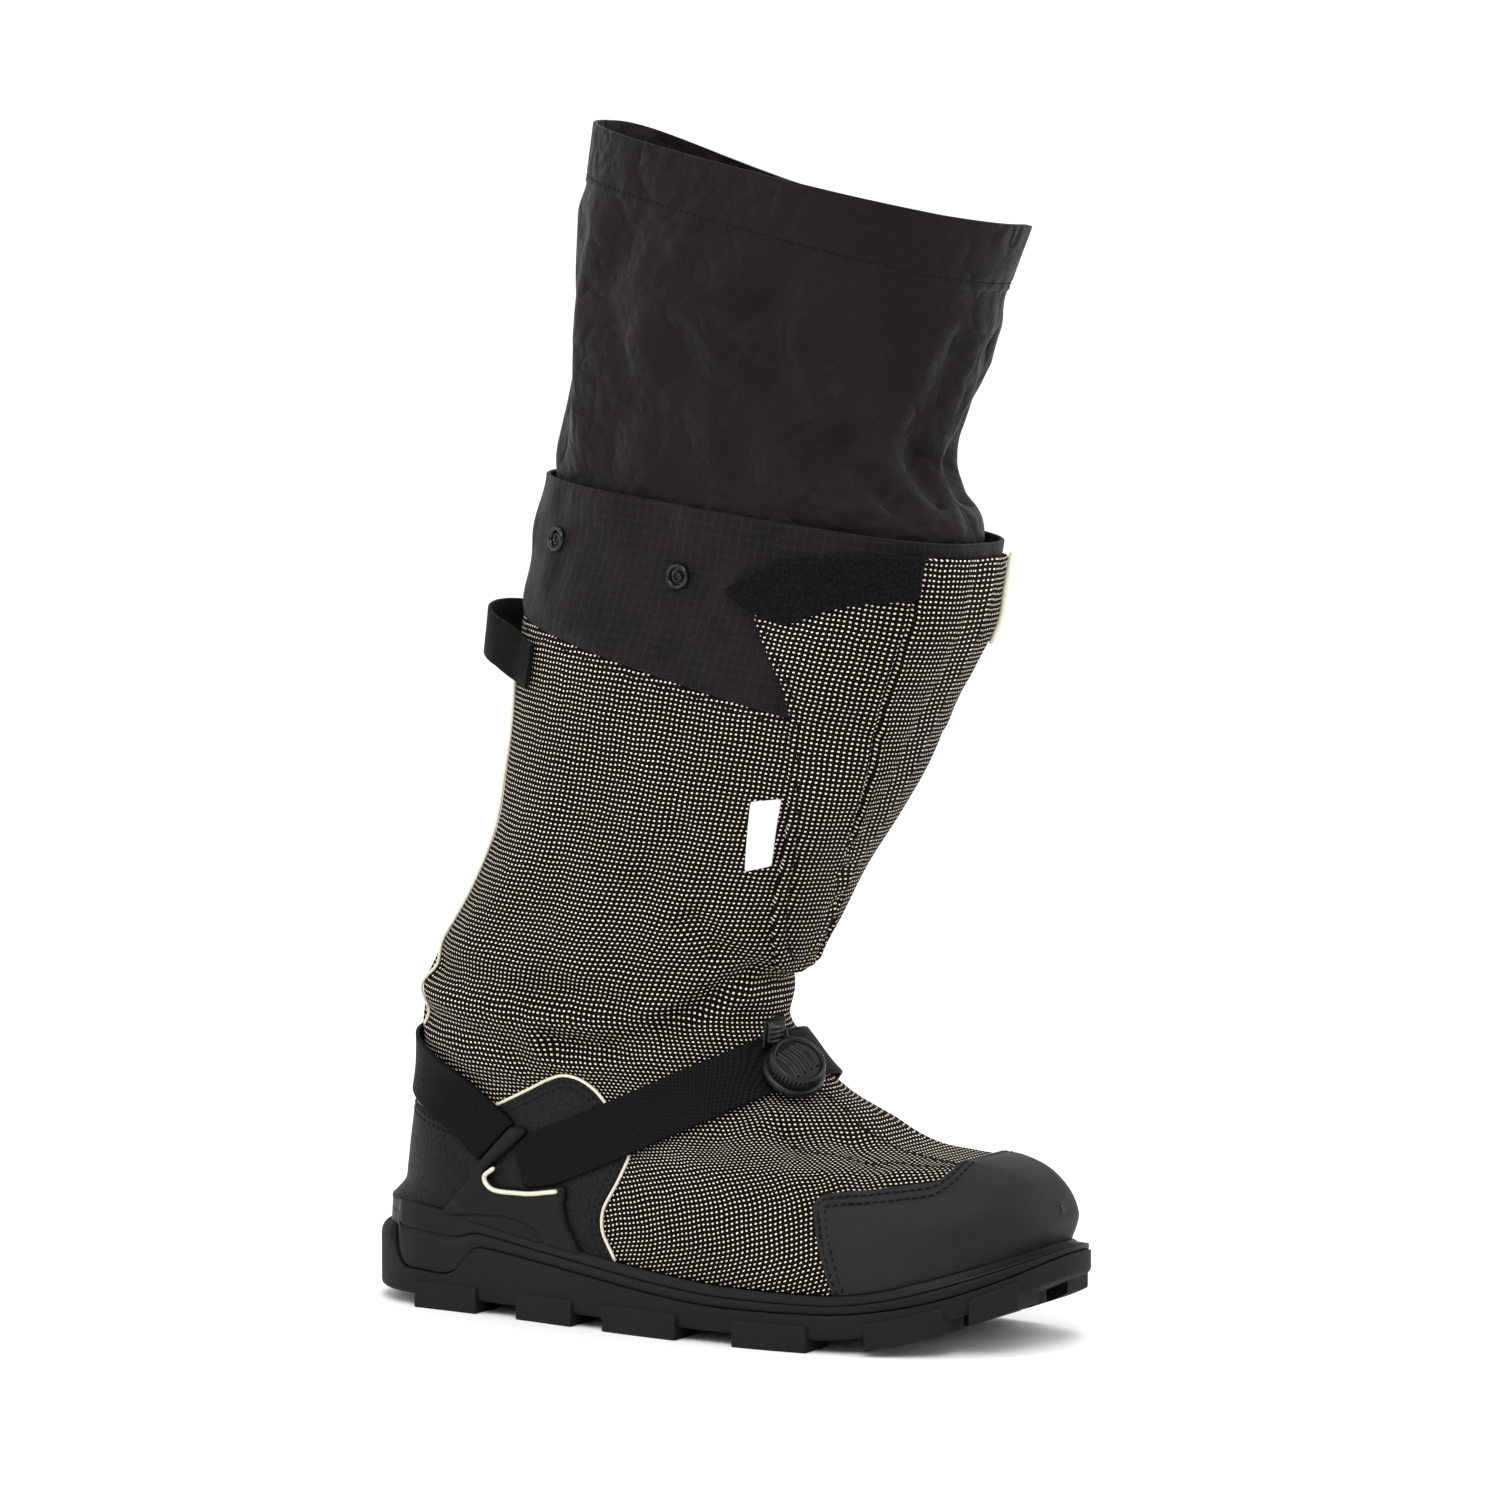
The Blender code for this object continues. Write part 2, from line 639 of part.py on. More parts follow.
def boolean(thing, cutter, operation):
    """Boolean of thing with cutter, applied at once."""
    modifier = thing.modifiers.new(operation.lower(), "BOOLEAN")
    modifier.operation = operation
    modifier.object = cutter
    modifier.solver = "EXACT"
    bpy.context.view_layer.update()
    evaluated = thing.evaluated_get(bpy.context.evaluated_depsgraph_get())
    mesh = bpy.data.meshes.new_from_object(evaluated)
    thing.modifiers.clear()
    old = thing.data
    thing.data = mesh
    bpy.data.meshes.remove(old)


def keep_inside(thing, outer_edge, inner_edge=None):
    """Cut a piece of wall down to its side-view outline on the outer side and on the inner side."""
    reach = SIDE_REACH * BALL_WIDTH
    if inner_edge is None:
        cutter = prism(thing.name + "_edge", outer_edge, -reach, reach)
    else:
        cutter = prism(thing.name + "_edge", outer_edge, -reach, MIDDLE_OVERLAP)
        other = prism(thing.name + "_inner_edge", inner_edge, -MIDDLE_OVERLAP, reach)
        boolean(cutter, other, "UNION")
    boolean(thing, cutter, "INTERSECT")


def cut_away(thing, outline, y_from, y_to):
    cutter = prism(thing.name + "_cut", outline, y_from, y_to)
    boolean(thing, cutter, "DIFFERENCE")


def shade(thing, degrees=35):
    thing.data.shade_smooth()
    thing.data.set_sharp_from_angle(angle=radians(degrees))


def turns_between(first, last):
    """The upper's own stations between two turns, so that overlays lie flat on its facets."""
    return [k / AROUND for k in range(floor(first * AROUND), ceil(last * AROUND) + 1)]


def on_face(turn, level, offset):
    """Placement with its origin on the upper's face, +Z outwards and +Y up the face."""
    place = upper_at(turn, level, offset)
    outward = Vector(upper_normal(turn, level))
    upward = Vector(upper_point(turn, level + 0.1) - upper_point(turn, level - 0.1))
    upward = (upward - outward * upward.dot(outward)).normalized()
    sideways = upward.cross(outward)
    matrix = Matrix((sideways, upward, outward)).transposed().to_4x4()
    matrix.translation = Vector(place)
    return matrix


# The sole
def outsole_top(x):
    """Height of the face that carries the midsole: over the bumper it is higher than its edge."""
    return side_line(x, "mid") + BUMPER_HEIGHT * bumper(along(x))


def make_outsole(material):
    slab_bottom = lambda x: ground(x) + LUG_DEPTH
    mid = lambda x: side_line(x, "mid")
    low = lambda x: slab_bottom(x) + SLAB_CHAMFER
    loops = [sole_loop(SLAB_CHAMFER, slab_bottom), sole_loop(0.0, low), sole_loop(0.0, mid),
             sole_loop(EDGE_INSET, outsole_top, BUMPER_INSET)]
    points, faces = loft(loops, strips=True)
    slab = add_object("outsole", mesh_from("outsole", points, faces), material)
    lugs_points, lugs_faces = [], []
    for start, end in LUGS[1:]:
        for side in (-1, 1):
            add_lug(lugs_points, lugs_faces, HEEL_END + start * SOLE_LENGTH,
                    HEEL_END + end * SOLE_LENGTH, side)
        if CENTRE_LUGS_FROM < start < CENTRE_LUGS_TO:
            add_centre_lug(lugs_points, lugs_faces, HEEL_END + (start - CENTRE_LUG_LONGER) * SOLE_LENGTH,
                           HEEL_END + (end + CENTRE_LUG_LONGER) * SOLE_LENGTH)
    lugs = add_object("outsole_lugs", mesh_from("outsole_lugs", lugs_points, lugs_faces), None, CUTTERS)
    lugs.hide_render = True
    lugs.display_type = "WIRE"
    boolean(slab, lugs, "UNION")
    shade(slab)


def edge_point(x, side, inward):
    """Point of the plan at a distance inwards from the outline, measured along Y."""
    width = half_width(x, side, 0.0) * round_heel(x, 0.0) * round_toe(x, 0.0)
    return middle(x) + side * max(width - inward, 0.004)


def add_lug(points, faces, start, end, side):
    """A lug on the sole's edge: a tread block with a side block that climbs the slab."""
    section = [(-LUG_PROUD, 0.0), (-LUG_PROUD, SIDE_BLOCK), (LUG_EMBED, SIDE_BLOCK + LUG_PROUD),
               (LUG_REACH, LUG_DEPTH + LUG_EMBED), (LUG_REACH, 0.0)]
    loops = []
    for x in np.linspace(start, end, 3):
        loops.append(np.array([(x, edge_point(x, side, inward), ground(x) + up) for inward, up in section]))
    part_points, part_faces = loft(loops)
    base = len(points)
    points.extend(part_points)
    faces.extend([tuple(base + k for k in face) for face in part_faces])


def add_centre_lug(points, faces, start, end):
    """A plain block on the sole's middle line."""
    half = CENTRE_LUG_WIDTH / 2
    top = LUG_DEPTH + LUG_EMBED
    loops = []
    for x in np.linspace(start, end, 3):
        y = middle(x) + (edge_point(x, -1, 0.0) + edge_point(x, 1, 0.0)) / 2
        section = [(y - half, 0.0), (y - half, top), (y + half, top), (y + half, 0.0)]
        loops.append(np.array([(x, aside, ground(x) + up) for aside, up in section]))
    part_points, part_faces = loft(loops)
    base = len(points)
    points.extend(part_points)
    faces.extend([tuple(base + k for k in face) for face in part_faces])


def make_midsole(material):
    """Its side has a step and a lip; round the back of the heel it stands in behind the bumper."""
    def ring(inset, share):
        height = lambda x: (outsole_top(x) + GAP) * (1 - share) + side_line(x, "top") * share
        return sole_loop(inset, height, BUMPER_INSET + GAP + REAR_LEAN * share)

    loops = [
        ring(MIDSOLE_INSET, 0.0),
        ring(MIDSOLE_INSET, STEP_AT),
        ring(LIP_INSET * STEP_INSET, STEP_AT + STEP_RISE),
        ring(LIP_INSET * LIP_SIDE_INSET, LIP_AT),
        ring(LIP_INSET + MIDSOLE_INSET, 1.0),
    ]
    points, faces = loft(loops, strips=True)
    shade(add_object("midsole", mesh_from("midsole", points, faces), material))


def make_insole(material):
    inset = FEATHER_INSET + UPPER_WALL + INSOLE_SIDE_CLEAR
    bottom = seat
    top = lambda x: bottom(x) + INSOLE_THICKNESS
    points, faces = loft([sole_loop(inset, bottom), sole_loop(inset, top)], strips=True)
    shade(add_object("insole", mesh_from("insole", points, faces), material))


# The upper and what covers it
def make_upper(material):
    levels = list(range(SHAFT_TOP + 1))
    points, faces = tube(upper_at, levels, -UPPER_WALL, 0.0)
    shade(add_object("upper", mesh_from("upper", points, faces), material))


def make_collar(material):
    levels = [SHAFT_TOP + SEAM_STEP, SHAFT_TOP + 1, SHAFT_TOP + 2, COLLAR_TOP]
    points, faces = tube(upper_at, levels, -COLLAR_WALL, 0.0)
    shade(add_object("storm_collar", mesh_from("storm_collar", points, faces), material))


def make_gaiter(material):
    hem = GAITER_TOP - 1
    levels = list(range(hem + 1)) + [hem + SEAM_STEP, GAITER_TOP]

    def outer(turn, level):
        return HEM_WALL - GAITER_WALL if level > hem else 0.0

    points, faces = tube(gaiter_at, levels, -GAITER_WALL, outer)
    shade(add_object("gaiter", mesh_from("gaiter", points, faces), material))


def make_overlay(name, material, turns, levels, base, wall, outer_edge, inner_edge=None,
                 corner=OVERLAY_CORNER):
    """A piece of wall over the upper, cut to its outline in side view."""
    points, faces = patch(facet_at, turns, levels, base, base + wall)
    thing = add_object(name, mesh_from(name, points, faces), material)
    outline = rounded(side_view(outer_edge), corner)
    inner = None if inner_edge is None else rounded(side_view(inner_edge), corner)
    keep_inside(thing, outline, inner)
    shade(thing)
    return thing


ANCHOR_BASE = GAP + COUNTER_WALL + GAP
STRAP_BASE = max(ANCHOR_BASE, GAP + PIPING_LIFT + 2 * PIPING_RADIUS + GAP)


def band(line, width, clear=0.0):
    """Side-view outline of a strap of this width along a line of points."""
    line = side_view(line)
    half = width / 2 + clear
    direction = np.gradient(line, axis=0)
    direction /= np.linalg.norm(direction, axis=1)[:, None]
    across = np.stack([-direction[:, 1], direction[:, 0]], axis=1)
    return np.concatenate([line + half * across, (line - half * across)[::-1]])


def fine_line(line, count=9):
    """Points on a smooth curve through a line's points."""
    places = [float(k) for k in range(len(line))]
    xs = curve(places, [float(x) for x, _ in line])
    ys = curve(places, [float(y) for _, y in line])
    return [(xs(p), ys(p)) for p in np.linspace(0, len(line) - 1, count)]


def make_strap(name, material, turns, line):
    """Webbing round the upper, cut to its band and kept clear of the anchors."""
    points, faces = patch(facet_at, turns, STRAP_LEVELS, STRAP_BASE, STRAP_BASE + WEBBING_WALL)
    thing = add_object(name, mesh_from(name, points, faces), material)
    keep_inside(thing, band(fine_line(line), WEBBING_WIDTH))
    reach = SIDE_REACH * BALL_WIDTH
    cut_away(thing, grown(rounded(side_view(WING_EDGE), WING_CORNER), STRAP_CLEAR), -reach, reach)
    shade(thing)


def grown(outline, clear):
    """Outline moved outwards by a clearance."""
    ahead = np.roll(outline, -1, axis=0) - np.roll(outline, 1, axis=0)
    ahead /= np.maximum(np.linalg.norm(ahead, axis=1), 1e-9)[:, None]
    across = np.stack([-ahead[:, 1], ahead[:, 0]], axis=1)
    area = np.sum(outline[:, 0] * np.roll(outline[:, 1], -1) - np.roll(outline[:, 0], -1) * outline[:, 1])
    return outline + clear * across * (1 if area < 0 else -1)


def make_wings(material):
    for name, first, last in (("side_wing_lateral", 0.05, 0.30), ("side_wing_medial", 0.70, 0.95)):
        points, faces = patch(facet_at, turns_between(first, last), CAP_LEVELS,
                              ANCHOR_BASE, ANCHOR_BASE + ANCHOR_WALL)
        thing = add_object(name, mesh_from(name, points, faces), material)
        keep_inside(thing, rounded(side_view(WING_EDGE), WING_CORNER))
        shade(thing)


# The dial, the snaps and the small parts
def turned(name, profile, place, material, sides=24):
    """A turned piece: a profile of (radius, height) pairs spun about +Z and placed."""
    work = bmesh.new()
    loops = []
    for radius, height in profile:
        loop = [work.verts.new((radius * np.cos(a), radius * np.sin(a), height))
                for a in np.arange(sides) * 2 * np.pi / sides]
        loops.append(loop)
    for low, high in zip(loops[:-1], loops[1:]):
        for i in range(sides):
            j = (i + 1) % sides
            work.faces.new((low[i], low[j], high[j], high[i]))
    work.faces.new(loops[0][::-1])
    work.faces.new(loops[-1])
    bmesh.ops.recalc_face_normals(work, faces=work.faces)
    mesh = bpy.data.meshes.new(name)
    work.to_mesh(mesh)
    work.free()
    thing = add_object(name, mesh, material)
    thing.matrix_world = place
    shade(thing)
    return thing


CURVE_CLEAR = 0.0008
DIAL_BASE = STRAP_BASE + WEBBING_WALL + GAP + CURVE_CLEAR


def make_dial(material):
    place = on_face(DIAL_AROUND, DIAL_LEVEL, DIAL_BASE)
    rim = 0.0012
    turned("dial_housing", [(HOUSING_RADIUS - rim, 0.0), (HOUSING_RADIUS, rim),
                            (HOUSING_RADIUS, HOUSING_DEPTH - rim), (HOUSING_RADIUS - rim, HOUSING_DEPTH)],
           place, material)
    knob_place = on_face(DIAL_AROUND, DIAL_LEVEL, DIAL_BASE + HOUSING_DEPTH + GAP)
    turned("dial_knob", [(DIAL_RADIUS, 0.0), (DIAL_RADIUS, DIAL_DEPTH * 0.7),
                         (DIAL_RADIUS * 0.90, DIAL_DEPTH), (DIAL_RADIUS * 0.80, DIAL_DEPTH),
                         (DIAL_RADIUS * 0.76, DIAL_DEPTH * 0.86)], knob_place, material)


def ribbon(name, path, across, width, wall, material):
    """A flat band along a path: across gives the direction of its width at each point."""
    path = np.asarray(path, float)
    ahead = np.gradient(path, axis=0)
    ahead /= np.linalg.norm(ahead, axis=1)[:, None]
    across = np.broadcast_to(np.asarray(across, float), path.shape)
    across = across - np.sum(across * ahead, axis=1)[:, None] * ahead
    across = across / np.linalg.norm(across, axis=1)[:, None]
    normal = np.cross(ahead, across)
    loops = []
    for p, a, n in zip(path, across, normal):
        w, t = a * width / 2, n * wall / 2
        loops.append(np.array([p - w - t, p + w - t, p + w + t, p - w + t]))
    points, faces = loft(loops)
    thing = add_object(name, mesh_from(name, points, faces), material)
    shade(thing)
    return thing


def make_ladder(material):
    """The ladder band leaves the housing upwards, clear of the shin, and turns over outwards."""
    place = on_face(DIAL_AROUND, DIAL_LEVEL, DIAL_BASE)
    outward = place.to_3x3() @ Vector((0.0, 0.0, 1.0))
    across = place.to_3x3() @ Vector((1.0, 0.0, 0.0))
    rise = (Vector((0.0, 0.0, 1.0)) + LADDER_LEAN * outward).normalized()
    over = (outward - rise * outward.dot(rise)).normalized()
    foot = place @ Vector((0.0, HOUSING_RADIUS + GAP + LADDER_WALL * 0.8, HOUSING_DEPTH / 2))
    top = foot + rise * LADDER_RISE + over * LADDER_BEND
    path = [foot, foot + rise * LADDER_RISE / 2]
    for angle in np.linspace(0, pi, 7):
        path.append(top - over * LADDER_BEND * cos(angle) + rise * LADDER_BEND * sin(angle))
    path.append(path[-1] - rise * LADDER_RISE * 0.6)
    ribbon("ladder_strap", [tuple(p) for p in path], tuple(across), LADDER_WIDTH, LADDER_WALL, material)


def make_snaps(material):
    for k, (turn, level) in enumerate(SNAP_PLACES):
        place = on_face(turn, level, GAP + SNAP_CLEAR)
        turned("collar_snap_%d" % (k + 1),
               [(SNAP_RADIUS, 0.0), (SNAP_RADIUS, SNAP_DEPTH * 0.55), (SNAP_RADIUS * 0.85, SNAP_DEPTH),
                (SNAP_RADIUS * 0.62, SNAP_DEPTH), (SNAP_RADIUS * 0.52, SNAP_DEPTH * 0.5)],
               place, material, sides=14)


def make_pull_loop(material):
    """Webbing loop behind the collar: its ends lie on the upper's sides, its bend stands out."""
    base = GAP + WEBBING_WALL / 2 + LOOP_LIFT
    legs = [upper_at(k / AROUND, LOOP_LEVEL, base) for k in (4, 3)]
    back = upper_at(0.0, LOOP_LEVEL, 0.0)
    half = legs[1][1] / -LOOP_TUCK
    path = list(legs)
    for angle in np.radians(np.linspace(-80, 80, 9)):
        path.append(back + np.array([half * 0.25 - LOOP_REACH * cos(angle), half * sin(angle),
                                     LOOP_RAISE * cos(angle)]))
    path += [p * np.array([1.0, -1.0, 1.0]) for p in legs[::-1]]
    upward = upper_at(0.0, LOOP_LEVEL + 0.5, 0.0) - upper_at(0.0, LOOP_LEVEL - 0.5, 0.0)
    ribbon("pull_loop", path, upward, WEBBING_WIDTH * LOOP_NARROW, WEBBING_WALL, material)


def wire(name, path, radius, material, sides=5):
    """A round cord of piping along a path."""
    path = np.asarray(path, float)
    ahead = np.gradient(path, axis=0)
    ahead /= np.linalg.norm(ahead, axis=1)[:, None]
    guide = np.array([0.0, 1.0, 0.0]) if abs(ahead[0][1]) < 0.7 else np.array([0.0, 0.0, 1.0])
    loops = []
    for p, a in zip(path, ahead):
        side = np.cross(a, guide)
        side /= np.linalg.norm(side)
        guide = np.cross(side, a)
        angles = np.arange(sides) * 2 * np.pi / sides
        loops.append(np.array([p + radius * (np.cos(t) * side + np.sin(t) * guide) for t in angles]))
    points, faces = loft(loops)
    thing = add_object(name, mesh_from(name, points, faces), material)
    shade(thing, 60)


def find_turn(x, level, side=-1):
    """The turn at which the upper's face at this level passes x, on the outer side."""
    low, high = 0.0, 0.5
    for _ in range(30):
        mid = (low + high) / 2
        if upper_point(mid, level)[0] < x:
            low = mid
        else:
            high = mid
    return (low + high) / 2 if side < 0 else 1 - (low + high) / 2


def find_level(x, z):
    """The level and turn at which the upper's outer side passes a point of the side view."""
    low, high = 0.0, float(COLLAR_TOP)
    for _ in range(30):
        mid = (low + high) / 2
        turn = find_turn(x, mid)
        if upper_point(turn, mid)[2] < z:
            low = mid
        else:
            high = mid
    return find_turn(x, (low + high) / 2), (low + high) / 2


def make_trims(material):
    """Cream bead along each anchor's slot, and a short bead down the front of the flap."""
    base = ANCHOR_BASE + ANCHOR_WALL + GAP + PIPING_LIFT + TRIM_RADIUS
    places = [find_level(x, z) for x, z in fine_line(side_view(SLOT_LINE), 9)]
    for name, mirror in (("wing_trim_lateral", False), ("wing_trim_medial", True)):
        path = [upper_at(1 - t if mirror else t, v, base) for t, v in places]
        wire(name, path, TRIM_RADIUS, material)
    base = GAP + FLAP_WALL + GAP + TRIM_RADIUS
    path = [facet_at(FLAP_TRIM_TURN, v, base) for v in (17.6, 18, 18.5, 18.8)]
    wire("flap_trim", path, TRIM_RADIUS, material)


def make_pipings(material):
    base = GAP + PIPING_RADIUS
    wire("back_piping", [upper_at(BACK_PIPING_TURN, v, base) for v in BACK_PIPING_LEVELS], PIPING_RADIUS, material)
    edge = grown(side_view(COUNTER_EDGE), PIPING_RADIUS + EDGE_CLEAR)
    front = [edge[k] for k in range(5, len(edge) - 1)]
    places = [find_level(x, z) for x, z in fine_line(front, 23)]
    wire("counter_piping", [upper_at(t, v, base + PIPING_LIFT) for t, v in places], PIPING_RADIUS, material)


def build():
    clear_scene()
    rubber = make_material("rubber", 0.75)
    moulded = make_material("moulded", 0.60)
    dotted = make_material("dotted", 0.90)
    nylon = make_material("nylon", 0.70)
    ripstop = make_material("ripstop", 0.75)
    webbing = make_material("webbing", 0.85)
    cream = make_material("cream", 0.50)
    white = make_material("white", 0.60)
    plastic = make_material("plastic", 0.45)

    make_outsole(rubber)
    make_midsole(rubber)
    make_insole(webbing)
    make_upper(dotted)
    make_collar(ripstop)
    make_gaiter(nylon)
    make_overlay("toe_cap", moulded, turns_between(0.30, 0.70), CAP_LEVELS, GAP, CAP_WALL, TOE_CAP_EDGE)
    make_overlay("heel_counter", moulded, turns_between(-0.34, 0.34), COUNTER_LEVELS,
                 GAP, COUNTER_WALL, COUNTER_EDGE)
    make_overlay("front_flap", dotted, turns_between(0.24, 0.76), FLAP_LEVELS,
                 GAP, FLAP_WALL, FLAP_OUTER_EDGE, FLAP_INNER_EDGE)
    make_overlay("closure_tab", webbing, turns_between(0.20, 0.48), TAB_LEVELS,
                 GAP + FLAP_WALL + GAP, TAB_WALL, TAB_EDGE)
    make_overlay("side_label", white, turns_between(0.20, 0.40), LABEL_LEVELS,
                 GAP, LABEL_WALL, LABEL_EDGE, corner=LABEL_CORNER)
    make_wings(moulded)
    make_strap("instep_strap", webbing, turns_between(0.08, 0.92), INSTEP_LINE)
    make_strap("heel_strap", webbing, turns_between(-0.30, 0.30), HEEL_LINE)
    make_dial(plastic)
    make_ladder(plastic)
    make_snaps(plastic)
    make_pull_loop(webbing)
    make_pipings(cream)
    make_trims(cream)


build()
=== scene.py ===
# The looks of the winter overshoe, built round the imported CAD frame, in metres.
# Frame: +X to the toe, +Y to the inner side of the foot, +Z up. The photograph sees the outer side.
from math import cos, pi, radians, sin

import bmesh
import bpy
import numpy as np
from mathutils import Matrix, Vector


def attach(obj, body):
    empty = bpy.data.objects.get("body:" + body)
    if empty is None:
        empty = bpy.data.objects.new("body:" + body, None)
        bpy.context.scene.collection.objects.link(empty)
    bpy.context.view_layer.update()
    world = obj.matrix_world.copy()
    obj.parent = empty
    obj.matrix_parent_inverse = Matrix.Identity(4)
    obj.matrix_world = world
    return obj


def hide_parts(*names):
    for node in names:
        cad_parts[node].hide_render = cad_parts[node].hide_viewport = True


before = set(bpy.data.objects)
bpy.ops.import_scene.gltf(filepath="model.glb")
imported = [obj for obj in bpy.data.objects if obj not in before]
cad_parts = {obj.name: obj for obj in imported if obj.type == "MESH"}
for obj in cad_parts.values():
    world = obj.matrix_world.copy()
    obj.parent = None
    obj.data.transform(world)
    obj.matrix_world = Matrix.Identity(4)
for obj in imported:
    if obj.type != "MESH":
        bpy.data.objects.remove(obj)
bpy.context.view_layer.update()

# Driving sizes, as in the CAD part
SOLE_LENGTH = 0.335
BALL_WIDTH = 0.123
HEEL_ROUND = 0.043
TOE_ROUND = 0.088
TOE_SWING = 0.008
TOE_SPRING = 0.026
HEEL_THICKNESS = 0.0437
LUG_DEPTH = 0.0053
LUG_REACH = 0.018
LUG_PROUD = 0.0015
SIDE_BLOCK = 0.0110
CENTRE_LUG_WIDTH = 0.020
FEATHER_INSET = 0.0065
UPPER_HEIGHT = 0.320
UPPER_WALL = 0.0020
SHAFT_WIDTH = 0.116
GAITER_HEIGHT = 0.170
GAITER_WIDTH = 0.114
COLLAR_WALL = 0.0020
GAITER_WALL = 0.0010
FLAP_WALL = 0.0025
TAB_WALL = 0.0014
CAP_WALL = 0.0016
COUNTER_WALL = 0.0014
LABEL_WALL = 0.0008
WEBBING_WIDTH = 0.025
WEBBING_WALL = 0.0016
ANCHOR_WALL = 0.0024
GAP = 0.0003
SEAT_GAP = 0.0007
CURVE_CLEAR = 0.0008
HOUSING_RADIUS = 0.0138
HOUSING_DEPTH = 0.0040
PIPING_RADIUS = 0.0007
TRIM_RADIUS = 0.0010
END_SHIFT = 0.2
TOE_POWER = 2.2
WIDE_AT = 0.42
GAITER_POWER = 2 / 2.35
SWELL = 0.0015
SWING_START = 0.576
SPRING_START = 0.725
AROUND = 288
ARC_STEPS = 5
CORD_SIDES = 10
TOOTH_PITCH = 0.002
SHAFT_TOP = 16
COLLAR_TOP = 19
GAITER_SEAM = 17
ANCHOR_BASE = GAP + COUNTER_WALL + GAP
STRAP_BASE = 0.0023
DIAL_BASE = STRAP_BASE + WEBBING_WALL + GAP + CURVE_CLEAR

PLAN = [
    ("along", "outer", "inner"),
    (0.000, 0.350, 0.350), (0.128, 0.354, 0.354), (0.212, 0.374, 0.358), (0.307, 0.407, 0.346),
    (0.397, 0.447, 0.341), (0.487, 0.480, 0.358), (0.576, 0.500, 0.390), (0.666, 0.508, 0.423),
    (0.740, 0.500, 0.447), (0.830, 0.488, 0.455), (0.904, 0.472, 0.455), (1.000, 0.455, 0.455),
]
SIDE = [
    ("along", "mid", "top"),
    (0.000, 0.645, 1.000), (0.055, 0.645, 0.995), (0.086, 0.410, 0.988), (0.110, 0.372, 0.982),
    (0.170, 0.384, 0.925), (0.212, 0.654, 0.875),
    (0.307, 0.584, 0.762), (0.397, 0.505, 0.675), (0.487, 0.421, 0.590), (0.576, 0.362, 0.526),
    (0.666, 0.355, 0.503), (0.740, 0.362, 0.500), (0.806, 0.355, 0.503), (0.887, 0.330, 0.515),
    (0.955, 0.325, 0.490), (1.000, 0.343, 0.457),
]
LUGS = [(0.112, 0.212), (0.278, 0.370), (0.421, 0.537), (0.621, 0.725), (0.801, 0.892), (0.919, 0.966)]
CENTRE_LUG_LONGER = 0.01
BUMPER_INSET = 0.0042
BUMPER_HEIGHT = 0.0054
EDGE_INSET = 0.0008
REAR_LEAN = 0.0005
BUMPER_FROM = 0.062
BUMPER_TO = 0.080
RIM_SAG = 0.014
RINGS = [
    ("back_x", "back_z", "front_x", "front_z", "follow", "shaft", "width", "swell"),
    (-0.1090, 0.000, 0.8420, 0.000, 1.00, 0.00, 0.34, 0.0),
    (-0.0880, 0.022, 0.8450, 0.030, 0.78, 0.00, 0.34, 0.7),
    (-0.0830, 0.047, 0.8350, 0.060, 0.60, 0.00, 0.34, 1.0),
    (-0.0800, 0.072, 0.8150, 0.086, 0.45, 0.00, 0.34, 0.9),
    (-0.0770, 0.097, 0.7710, 0.106, 0.30, 0.00, 0.35, 0.6),
    (-0.0740, 0.122, 0.7100, 0.112, 0.18, 0.00, 0.36, 0.3),
    (-0.0700, 0.150, 0.6420, 0.124, 0.08, 0.10, 0.37, 0.0),
    (-0.0665, 0.178, 0.5850, 0.158, 0.00, 0.35, 0.38, 0.0),
    (-0.0640, 0.209, 0.5300, 0.188, 0.00, 0.70, 0.40, 0.0),
    (-0.0615, 0.247, 0.4890, 0.228, 0.00, 1.00, 0.41, 0.0),
    (-0.0530, 0.294, 0.4550, 0.278, 0.00, 1.00, 0.42, 0.0),
    (-0.0200, 0.366, 0.4720, 0.332, 0.00, 1.00, 0.43, 0.0),
    (0.0200, 0.437, 0.5100, 0.394, 0.00, 1.00, 0.44, 0.0),
    (0.0570, 0.519, 0.5490, 0.478, 0.00, 1.00, 0.455, 0.0),
    (0.0775, 0.619, 0.5890, 0.545, 0.00, 1.00, 0.470, 0.0),
    (0.0880, 0.722, 0.6240, 0.606, 0.00, 1.00, 0.480, 0.0),
    (0.0985, 0.812, 0.6480, 0.656, 0.00, 1.00, 0.490, 0.0),
    (0.1100, 0.881, 0.6900, 0.738, 0.00, 1.00, 0.500, 0.0),
    (0.1240, 0.944, 0.7280, 0.822, 0.00, 1.00, 0.505, 0.0),
    (0.1340, 1.000, 0.7440, 0.911, 0.00, 1.00, 0.505, 0.0),
]
GAITER_RINGS = [
    ("back_x", "back_z", "front_x", "front_z", "width"),
    (0.1400, -0.240, 0.6650, -0.420, 0.465),
    (0.1490, -0.030, 0.7280, -0.165, 0.484),
    (0.1580, 0.110, 0.6900, -0.050, 0.490),
    (0.1690, 0.250, 0.6740, 0.030, 0.500),
    (0.1750, 0.380, 0.6930, 0.120, 0.510),
    (0.1820, 0.520, 0.7160, 0.235, 0.515),
    (0.1920, 0.640, 0.7380, 0.355, 0.515),
    (0.2010, 0.735, 0.7560, 0.455, 0.510),
    (0.2100, 0.880, 0.7900, 0.612, 0.505),
]
TOE_CAP_EDGE = [(0.640, -0.200), (0.622, -0.066), (0.598, 0.009), (0.586, 0.053), (0.596, 0.064),
                (0.661, 0.071), (0.727, 0.081), (0.738, 0.092), (0.743, 0.150), (0.743, 0.250),
                (1.000, 0.250), (1.000, -0.200)]
